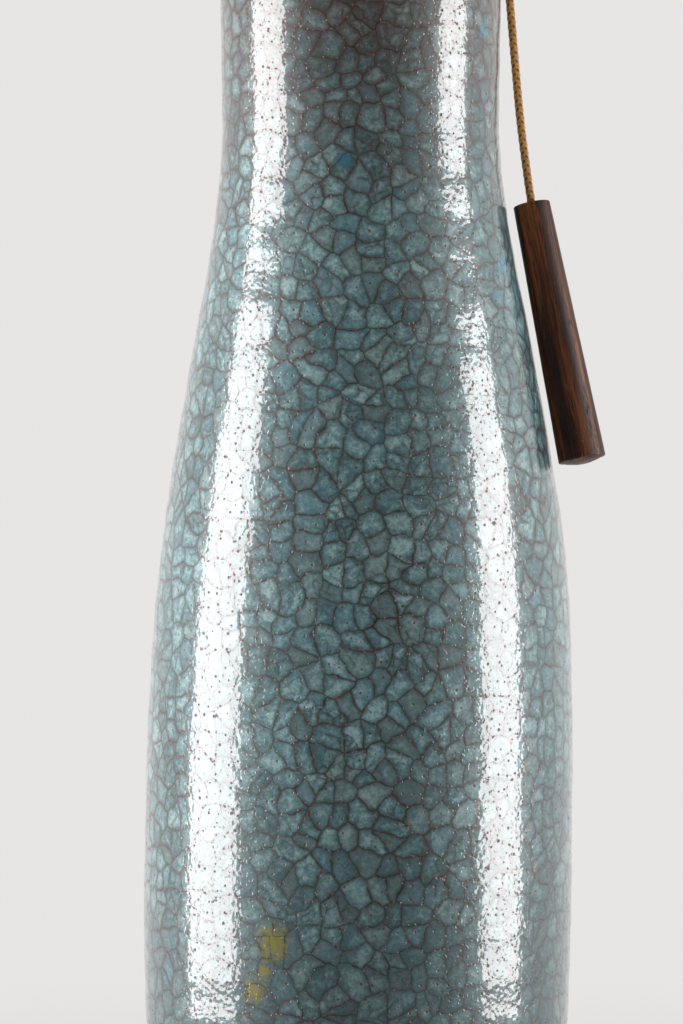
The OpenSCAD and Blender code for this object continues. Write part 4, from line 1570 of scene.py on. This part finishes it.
    def hand_made(self, points: np.ndarray) -> np.ndarray:
        """Give the outer face its sway, throwing rings and slight unroundness.

        The axis drifts by two bells along the height, as it does in the photograph. The
        rings are sines of the height, and the unroundness is a sine of the angle. All of
        it fades at both ends, and in a bell behind the pull, so that the pull can slide.

        Args:
            points: The body's points, by row, column and axis.

        Returns:
            The moved points.
        """
        x, y, z = (points[..., axis] for axis in range(3))
        angle = np.arctan2(y, x)
        inside = np.arange(len(points))[:, None] >= self.outer_rows
        low_end = np.clip((z - self.low_z - self.low_ease[0]) / self.low_ease[1], 0, 1)
        high_end = np.clip((self.lip_z - self.high_ease[0] - z) / self.high_ease[1], 0, 1)
        behind = np.exp(-((angle / self.room_turn) ** 2) - ((z - self.room_z) / self.room_half) ** 2)
        room = 1 - np.clip(self.room_depth * behind, 0, 1)
        amount = np.where(inside, 0.0, low_end * high_end * room)
        sway = sum(reach * np.exp(-(((z - middle) / half) ** 2)) for reach, middle, half in self.sways)
        fine, drift, coarse = self.ring_z
        rings = 0.5 * np.sin(z / fine + 1.3 * np.sin(z / drift))
        rings += 0.5 * np.sin(z / coarse + 2.0 * np.sin(angle))
        uneven = sum(reach * np.sin(lobes * angle + z / rise) for reach, lobes, rise in self.uneven)
        out = amount * (self.ripple * rings + uneven)
        made = points.copy()
        push_out(made, out)
        made[..., 0] += amount * sway
        return made

    def build(self) -> bpy.types.Object:
        """Make the body, with three numbers kept at each height for the cracks.

        They are how much the cells shrink there, the sum of each step times that over the
        radius, and the radius over it in millimetres.

        Returns:
            The body.
        """
        outline = self.outline()
        points = self.hand_made(turned_points(outline, self.columns))
        step = np.linalg.norm(np.diff(outline, axis=0), axis=1)
        shrunk = (outline[:, 0] / self.belly_r) ** self.cell_power
        rise = shrunk / outline[:, 0]
        height = np.concatenate([[0.0], np.cumsum(step * (rise[1:] + rise[:-1]) / 2)])
        chart = np.stack([shrunk, height, outline[:, 0] / shrunk / MM], axis=-1)
        faces = grid_faces(len(outline), self.columns, True)
        stains = tuple(self.stains())
        piece = mesh_piece("glazed_body", points, faces, Body.BASE,
                           CrackleGlaze(stains=stains).build(), ("ceramic_body",))
        keep_numbers(piece, "glaze_chart", np.repeat(chart, self.columns, axis=0))
        return piece

    def stains(self) -> list[Stain]:
        """Spots seen on the front: each is a place across and up, a size and a colour.

        Returns:
            The spots.
        """
        ochre = linear(158, 147, 38)
        blue = linear(64, 140, 172)
        sky = linear(84, 178, 214)
        rust = linear(170, 90, 50)
        spots = ((-22.3, 106.6, 6.0, ochre, 0.9), (-24.6, 99.0, 2.6, ochre, 0.85),
                 (-27.0, 94.2, 4.2, ochre, 0.85), (-38.2, 241.0, 1.4, ochre, 0.7),
                 (-4.5, 304.5, 3.0, blue, 0.85), (36.5, 278.2, 3.6, sky, 1.0),
                 (31.8, 339.6, 3.0, sky, 0.8), (34.5, 270.5, 2.6, sky, 0.6),
                 (-34.9, 276.3, 1.2, rust, 0.6))
        made = []
        for x, z, size, colour, strength in spots:
            depth = float(self.radius(np.array(z * MM))) ** 2 - (x * MM) ** 2
            made.append(Stain((x * MM, -math.sqrt(max(depth, 0.0)), z * MM), size * MM, colour, strength))
        return made


@dataclass
class WoodenPull:
    """The turned pull, thicker at its lower end, hung on the cord.

    Attributes:
        top: Middle of its upper face.
        low: Middle of its lower face.
        top_r: Radius at the top.
        low_r: Radius at the bottom.
        edge: Radius of its rounded edges.
        dome: How far its lower end bulges.
        hole_r: Radius of the hole for the cord.
        hole_depth: Depth of that hole.
        ripple: Depth of the turning marks on its side.
        ripple_z: Length of a radian of them.
        score: Depth of those on its lower end.
        score_r: Length of a radian of them.
        grain_at: Place in the wood of the middle of its lower face.
        groove_w: Distance of the groove in the lower end from the edge.
        groove_t: Depth of that groove.
        columns: Steps round.
    """

    top: Vector = field(default_factory=lambda: Vector((0.0450493, 0.0035, 0.296)))
    low: Vector = field(default_factory=lambda: Vector((0.0580510, -0.0035, 0.2284)))
    top_r: float = 4.85 * MM
    low_r: float = 6.25 * MM
    edge: float = 0.4 * MM
    dome: float = 1.1 * MM
    hole_r: float = 2 * MM
    hole_depth: float = 14 * MM
    ripple: float = 0.012 * MM
    ripple_z: float = 3.1 * MM
    score: float = 0.02 * MM
    score_r: float = 0.4 * MM
    grain_at: tuple[float, float, float] = (0.013, 0.021, 0.0)
    groove_w: float = 0.35 * MM
    groove_t: float = 0.14 * MM
    columns: int = 72

    def build(self) -> bpy.types.Object:
        """Turn the outline about the pull's own axis, then lay it along the shoulder.

        Returns:
            The pull.
        """
        length = (self.top - self.low).length
        side_z = np.linspace(self.edge, length - self.edge, 60)
        side_r = self.low_r + (self.top_r - self.low_r) * side_z / length
        side_r += self.ripple * np.sin(side_z / self.ripple_z)
        side = np.stack([side_r, side_z], axis=-1)
        low_edge = arc((side_r[0] - self.edge, self.edge), self.edge, -90, 0, 7)[:-1]
        top_edge = arc((side_r[-1] - self.edge, length - self.edge), self.edge, 0, 90, 7)[1:]
        groove = low_edge[0, 0] - self.groove_w
        end_r = np.linspace(0.0, groove, 20)[1:]
        end_z = -self.dome * (1 - (end_r / groove) ** 2) + self.score * np.sin(end_r / self.score_r)
        end = np.vstack([np.stack([end_r, end_z], axis=-1), [[groove + 0.12 * MM, self.groove_t]]])
        mouth = np.array([[self.hole_r + 0.5 * MM, length], [self.hole_r + 0.1 * MM, length - 0.4 * MM],
                          [self.hole_r, length - 1.0 * MM], [self.hole_r, length - self.hole_depth],
                          [self.hole_r / 4, length - self.hole_depth]])
        outline = np.vstack([end, low_edge, side, top_edge, mouth])
        local = turned_points(outline, self.columns).reshape(-1, 3)
        faces = capped_faces(len(outline), self.columns)
        axis = (self.top - self.low).normalized()
        turn = np.array(axis.to_track_quat("Z", "Y").to_matrix())
        points = local @ turn.T + np.array(self.low)
        wood = DarkWood().build()
        piece = mesh_piece("wooden_pull", points, faces, Body.PULL, wood, ("pull_handle",))
        keep_numbers(piece, "grain", local + np.array(self.grain_at))
        return piece


@dataclass
class Shade:
    """The tapered shade: a linen cover over the stiff lining, with bound rims.

    Attributes:
        low_r: Radius of the lining's inner face at the lower rim.
        top_r: The same at the upper rim.
        lining: Thickness of the lining.
        cloth: Thickness of the cover.
        gap: Clearance between them.
        bound: Height of the binding.
        wire: Radius of the rim's wire.
        seam_half: Half the width of the cover's glued overlap, as an angle.
        seam_rise: How far the overlap stands out.
        seam_ease: Angle over which it does so.
        slack: How far the cover stands off in its slow waves.
        tape: Thickness of the binding.
        tape_edge: How much its edges are rounded.
        tape_ease: How loosely it lies outside and round the wire.
        tape_gap: Clearance between the lining and the tape inside it.
        wire_gap: Clearance between the lining and the rim's wire.
        pucker: Depth of its puckers.
        puckers: Number of them round the rim.
        columns: Steps round.
    """

    low_r: float = 165 * MM
    top_r: float = 135 * MM
    lining: float = 0.6 * MM
    cloth: float = 0.6 * MM
    gap: float = 0.05 * MM
    bound: float = 9 * MM
    wire: float = 1.5 * MM
    seam_half: float = 0.03
    seam_rise: float = 0.35 * MM
    seam_ease: float = 0.004
    slack: float = 0.12 * MM
    tape: float = 0.5 * MM
    tape_edge: float = 0.35 * MM
    tape_ease: float = 0.25 * MM
    tape_gap: float = 0.1 * MM
    wire_gap: float = 0.2 * MM
    pucker: float = 0.06 * MM
    puckers: int = 61
    columns: int = 384

    def __post_init__(self) -> None:
        """Take the rims' heights from the frame."""
        low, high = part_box("shade_liner")
        self.low_z = low.z
        self.top_z = high.z

    def face(self, z: np.ndarray | float) -> np.ndarray | float:
        """Radius of the lining's inner face at some heights.

        Args:
            z: Heights in metres.

        Returns:
            Radii in metres.
        """
        return self.low_r + (self.top_r - self.low_r) * (z - self.low_z) / (self.top_z - self.low_z)

    def chart(self, outline: np.ndarray) -> np.ndarray:
        """Lay out each face in metres: round the middle radius, and along the outline.

        Args:
            outline: Radius and height of each point of a closed outline.

        Returns:
            Place on the map of each face's corners, one a row.
        """
        rows = len(outline)
        loop = np.vstack([outline, outline[:1]])
        along = np.concatenate([[0.0], np.cumsum(np.linalg.norm(np.diff(loop, axis=0), axis=1))])
        round_step = TURN * float(outline[:, 0].mean()) / self.columns
        row = np.arange(rows)[:, None]
        column = np.arange(self.columns)[None, :]
        u = np.stack([column, column + 1, column + 1, column], axis=-1) * round_step
        v = np.stack([along[row], along[row], along[row + 1], along[row + 1]], axis=-1)
        u = np.broadcast_to(u, (rows, self.columns, 4))
        v = np.broadcast_to(v, (rows, self.columns, 4))
        return np.stack([u, v], axis=-1).reshape(-1, 2)

    def cover(self, material: bpy.types.Material) -> bpy.types.Object:
        """Wrap the linen round the lining, with a glued overlap at the back.

        Args:
            material: Its finish.

        Returns:
            The cover.
        """
        inner = self.lining + self.gap
        outer_z = np.linspace(self.low_z, self.top_z, 90)
        outer = np.stack([self.face(outer_z) + inner + self.cloth, outer_z], axis=-1)
        back = np.stack([self.face(outer_z[::-4]) + inner, outer_z[::-4]], axis=-1)
        outline = np.vstack([outer, back])
        points = turned_points(outline, self.columns)
        angle = np.arctan2(points[..., 1], points[..., 0])
        away = np.abs(angle - math.pi / 2)
        seam = self.seam_rise * np.clip((self.seam_half - away) / self.seam_ease + 0.5, 0, 1)
        waves = np.sin(7 * angle + points[..., 2] / 0.05) + np.sin(3 * angle - points[..., 2] / 0.09)
        outside = (np.arange(len(outline)) < len(outer))[:, None]
        push_out(points, np.where(outside, seam + np.abs(self.slack * waves), 0.0))
        faces = grid_faces(len(outline), self.columns, True)
        piece = mesh_piece("linen_cover", points, faces, Body.SHADE, material,
                           ("shade_fabric",))
        keep_chart(piece, self.chart(outline))
        return piece

    def strip(self, rim: float, up: float, tall: np.ndarray, out: float) -> np.ndarray:
        """Outline that follows the shade's side beside one rim.

        Args:
            rim: Height of the rim.
            up: 1 if the shade lies above the rim, or -1.
            tall: Distances from the rim.
            out: Distance from the lining's inner face.

        Returns:
            Radius and height of each point.
        """
        z = rim + up * tall
        return np.stack([self.face(z) + out, z], axis=-1)

    def bead(self, rim: float, up: float, radius: float, start: float, stop: float, steps: int) -> np.ndarray:
        """Outline round the rim's wire, from one angle in degrees to another.

        Args:
            rim: Height of the rim.
            up: 1 if the shade lies above the rim, or -1.
            radius: Distance from the middle of the wire.
            start: First angle.
            stop: Last angle.
            steps: Number of points.

        Returns:
            Radius and height of each point.
        """
        wire_z = rim + up * self.wire
        wire_r = self.face(wire_z) - self.wire - self.wire_gap
        turn = arc((0.0, 0.0), radius, start, stop, steps)
        return np.stack([wire_r + turn[:, 0], wire_z + up * turn[:, 1]], axis=-1)

    def binding(self, name: str, node: str, rim: float, up: float,
                material: bpy.types.Material) -> bpy.types.Object:
        """Fold a tape over a rim, round its wire, with both edges on the shade.

        The outline goes down outside, over the rim, round the wire and up inside, and
        comes back under the tape.

        Args:
            name: Name of the piece.
            node: CAD node that it stands for.
            rim: Height of the rim.
            up: 1 if the shade lies above the rim, or -1.
            material: Its finish.

        Returns:
            The binding.
        """
        outer = self.lining + self.cloth + 3 * self.gap + self.tape_ease
        inner = -self.tape_gap - self.tape
        at_rim = self.face(rim)
        outside = self.strip(rim, up, np.linspace(self.bound, 1 * MM, 9), outer + self.tape)
        outside[0, 0] -= self.tape_edge
        over = np.array([[at_rim + outer + self.tape_edge, rim - up * 0.25 * MM],
                         [at_rim + 0.4 * MM, rim - up * 0.6 * MM]])
        bead = self.bead(rim, up, self.wire + self.tape_ease + self.tape, -95, -250, 11)
        inside = self.strip(rim, up, np.linspace(4.2 * MM, self.bound - 1 * MM, 5), inner)
        end_r = self.face(rim + up * self.bound) - self.tape_gap
        end = np.array([[end_r, rim + up * (self.bound - 0.6 * MM)]])
        under_in = self.strip(rim, up, np.linspace(self.bound - 1 * MM, 4 * MM, 4), -0.08 * MM)
        under_bead = self.bead(rim, up, self.wire + 0.15 * MM, -245, -100, 9)
        under_rim = np.array([[at_rim + outer, rim - up * 0.05 * MM]])
        under_out = self.strip(rim, up, np.linspace(1 * MM, self.bound - 0.4 * MM, 5), outer)
        outline = np.vstack([outside, over, bead, inside, end, under_in, under_bead, under_rim, under_out])
        if up > 0:
            outline = outline[::-1]
        points = turned_points(outline, self.columns)
        angle = np.arctan2(points[..., 1], points[..., 0])
        push_out(points, self.pucker * np.sin(self.puckers * angle + 2 * np.sin(9 * angle)))
        faces = grid_faces(len(outline), self.columns, True)
        piece = mesh_piece(name, points, faces, Body.SHADE, material, (node,))
        keep_chart(piece, self.chart(outline))
        return piece

    def build(self) -> None:
        """Make the cover and both bindings."""
        linen = Linen("linen_cloth", 0.55 * MM, linear(243, 236, 220), linear(226, 215, 191)).build()
        tape = Linen("linen_tape", 0.4 * MM, linear(238, 230, 212), linear(218, 205, 178)).build()
        cover = self.cover(linen)
        low = self.binding("lower_binding", "shade_trim_low", self.low_z, 1.0, tape)
        top = self.binding("upper_binding", "shade_trim_top", self.top_z, -1.0, tape)


@dataclass
class FootFelt:
    """The felt disc under the foot, with a soft edge.

    Attributes:
        edge: Radius of its rounded edge.
        middle_r: Radius of the flat faces in its middle.
        fuzz: How rough the edge is.
        seed: Seed of that roughness.
        columns: Steps round.
    """

    edge: float = 0.6 * MM
    middle_r: float = 2 * MM
    fuzz: float = 0.05 * MM
    seed: int = 5
    columns: int = 160

    def build(self) -> bpy.types.Object:
        """Round the disc's edge and roughen it a little.

        Returns:
            The felt.
        """
        _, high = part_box("foot_felt")
        radius, thick = high.x, high.z
        flat = np.linspace(self.middle_r, radius - self.edge, 12)
        top = np.stack([flat, np.full(12, thick)], axis=-1)
        upper = arc((radius - self.edge, thick - self.edge), self.edge, 90, 0, 5)
        lower = arc((radius - self.edge, self.edge), self.edge, 0, -90, 5)
        under = np.stack([flat[::-1][1:], np.zeros(11)], axis=-1)
        outline = np.vstack([top, upper, lower, under])[::-1]
        points = turned_points(outline, self.columns)
        rng = np.random.default_rng(self.seed)
        rough = np.minimum(rng.normal(0.0, self.fuzz, (1, self.columns)), 2 * self.fuzz)
        rim = np.hypot(points[..., 0], points[..., 1]) > radius - 1 * MM
        points[..., :2] *= (1 + np.where(rim, rough, 0.0) / radius)[..., None]
        faces = capped_faces(len(outline), self.columns)
        felt = Moulded("felt_cloth", linear(92, 88, 80), linear(66, 64, 58), 0.95, 2600, 0.25, 500)
        return mesh_piece("felt_disc", points, faces, Body.BASE, felt.build(), ("foot_felt",))


@dataclass
class ReturnSpring:
    """The coil under the switch's slider, which closes up as the pull goes down.

    Attributes:
        turns: Turns of the coil.
        coil_r: Radius of the coil at the middle of its wire.
        wire_r: Radius of the wire.
        travel: How far the slider comes down; not used.
        steps: Steps in a turn.
        sides: Sides of the wire.
    """

    turns: int = 4
    coil_r: float = 2.2 * MM
    wire_r: float = 0.3 * MM
    travel: float = 8 * MM
    steps: int = 40
    sides: int = 10

    def build(self, material: bpy.types.Material) -> bpy.types.Object:
        """Lay the wire along the coil.

        The wire's middle at angle a is R cos a, R sin a, rise * a / turn, and its rim at
        angle b adds r (u cos b - v sin b), with u straight out and v square to u and to
        the wire.

        Args:
            material: Its finish.

        Returns:
            The spring.
        """
        low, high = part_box("return_spring")
        middle = (low + high) / 2
        clear = high.z - low.z - 2 * self.wire_r
        share = np.linspace(0.0, 1.0, self.turns * self.steps + 1)
        angle = TURN * self.turns * share
        slope = clear / (TURN * self.turns * self.coil_r)
        out = np.stack([np.cos(angle), np.sin(angle), np.zeros_like(angle)], axis=-1)
        along = np.stack([-np.sin(angle), np.cos(angle), np.full_like(angle, slope)], axis=-1)
        over = np.cross(out, along / math.hypot(1.0, slope))
        start = np.array([middle.x, middle.y, low.z + self.wire_r])
        path = start + self.coil_r * out + share[:, None] * np.array([0.0, 0.0, clear])
        around = (TURN * np.arange(self.sides) / self.sides)[None, :, None]
        rim = out[:, None, :] * np.cos(around) - over[:, None, :] * np.sin(around)
        points = path[:, None, :] + self.wire_r * rim
        faces = capped_faces(len(path), self.sides)
        piece = mesh_piece("coil_spring", points, faces, Body.BASE, material, ("return_spring",))
        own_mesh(piece)
        return piece


@dataclass
class BulbGlass:
    """The blown glass of the bulb: an outer and an inner wall, each closed.

    Attributes:
        ball_r: Radius of its ball.
        foot_r: Radius at its foot.
        waist_r: Radius a little above the foot.
        waist_rise: Height of that place above the foot.
        wall: Thickness of the glass.
        ball_start: Angle at which the ball begins, in degrees from level.
        foot_round: Radius of the foot's edge.
        foot_flat: Radius of the face in the middle of the foot.
        columns: Steps round.
    """

    ball_r: float = 30 * MM
    foot_r: float = 13.65 * MM
    waist_r: float = 14.45 * MM
    waist_rise: float = 8 * MM
    wall: float = 1 * MM
    ball_start: float = -50.0
    foot_round: float = 1.6 * MM
    foot_flat: float = 0.3 * MM
    columns: int = 144

    def face(self, inset: float) -> np.ndarray:
        """Outline of one wall from its foot to its top, inset from the outer one.

        Args:
            inset: Distance from the outer wall, in metres.

        Returns:
            Radius and height of each point.
        """
        low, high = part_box("bulb_glass")
        middle_z = high.z - self.ball_r
        foot_z = low.z + inset
        edge = self.foot_round - inset / 2
        foot = arc((self.foot_r - inset - edge, foot_z + edge), edge, -90, 0, 7)
        waist = [[self.waist_r - inset, low.z + self.waist_rise]]
        ball = arc((0.0, middle_z), self.ball_r - inset, self.ball_start, 89.0, 64)
        side = smooth_route(np.vstack([foot[-1:], waist, ball[:2]]), 14)
        centre = [[self.foot_flat, foot_z]]
        return np.vstack([centre, foot[:-1], side[:-1], ball[1:]])

    def build(self, material: bpy.types.Material) -> bpy.types.Object:
        """Turn both walls, the inner one with its faces towards the filaments.

        Args:
            material: Its finish.

        Returns:
            The glass.
        """
        outer = self.face(0.0)
        inner = self.face(self.wall)
        faces = capped_faces(len(outer), self.columns)
        inner_faces = capped_faces(len(inner), self.columns, len(outer) * self.columns)
        faces += [face[::-1] for face in inner_faces]
        points = turned_points(np.vstack([outer, inner]), self.columns)
        return mesh_piece("blown_glass", points, faces, Body.BASE, material, ("bulb_glass",))


@dataclass
class Fittings:
    """The rigid pieces that keep their CAD shape and get their finish here."""

    def finishes(self) -> dict[str, bpy.types.Material]:
        """Make each finish once, by its slot in the record.

        Returns:
            The materials, by slot.
        """
        chosen = {
            "brass": Metal("aged_brass", linear(206, 168, 98), linear(150, 112, 58), 0.28),
            "steel": Metal("zinc_steel", linear(190, 192, 194), linear(136, 136, 134), 0.34),
            "bakelite": Moulded("bakelite", linear(52, 31, 23), linear(34, 20, 15), 0.3, 700, 0.012, 60),
            "steatite": Moulded("steatite_stone", linear(232, 226, 210), linear(214, 206, 186), 0.55,
                                1500, 0.03),
            "wire_white": Moulded("white_lacquer", linear(226, 224, 216), linear(208, 204, 194), 0.32,
                                  500, 0.02),
            "dark_wood": DarkWood("cap_wood", None, (0.0, math.pi / 2, 0.3)),
            "bush": Moulded("bush_phenolic", linear(96, 74, 48), linear(74, 56, 38), 0.4),
            "lead_brown": Moulded("brown_insulation", linear(112, 68, 40), linear(92, 54, 32), 0.45),
            "lead_blue": Moulded("blue_insulation", linear(58, 98, 142), linear(46, 80, 120), 0.45),
            "cork": Moulded("cork_sheet", linear(172, 134, 92), linear(118, 84, 54), 0.85, 1400, 0.2, 900),
            "bulb_contact": Moulded("contact_glass", linear(34, 34, 37), linear(22, 22, 24), 0.2),
            "bulb_glass": ClearGlass("bulb_glass"),
            "stem_glass": ClearGlass("stem_glass", (0.93, 0.95, 0.93), 0.12),
            "filament": Moulded("filament_coat", linear(240, 196, 96), linear(222, 168, 70), 0.5),
            "fibre": Moulded("red_fibre", linear(104, 62, 42), linear(82, 46, 32), 0.5),
            "liner": Moulded("lining_paper", linear(244, 240, 231), linear(238, 233, 221), 0.6,
                             420, 0.04, 30),
        }
        return {slot: finish.build() for slot, finish in chosen.items()}

    def build(self, made: dict[str, bpy.types.Material]) -> None:
        """Dress every CAD node that still shows.

        Args:
            made: The finishes, by slot.
        """
        slots = {part["node"]: part["material_slot"] for part in frame["record"]["subparts"]}
        for name, node in frame["nodes"].items():
            if node.hide_render:
                continue
            node.data.materials.clear()
            node.data.materials.append(made[slots[name]])
            LOG.info("%s: CAD shape, dressed as %s", name, slots[name])


def main() -> None:
    """Build the lamp, its stage and its light."""
    logging.basicConfig(level=logging.INFO, format="%(name)s: %(message)s")
    studio = Studio()
    studio.camera()
    PullCord().build()
    CeramicBody().build()
    WoodenPull().build()
    Shade().build()
    FootFelt().build()
    fittings = Fittings()
    finishes = fittings.finishes()
    ReturnSpring().build(finishes["steel"])
    BulbGlass().build(finishes["bulb_glass"])
    fittings.build(finishes)
    studio.floor()
    studio.world()
    studio.lights()
    bpy.context.scene.view_settings.view_transform = "Standard"


if __name__ == "__main__":
    main()
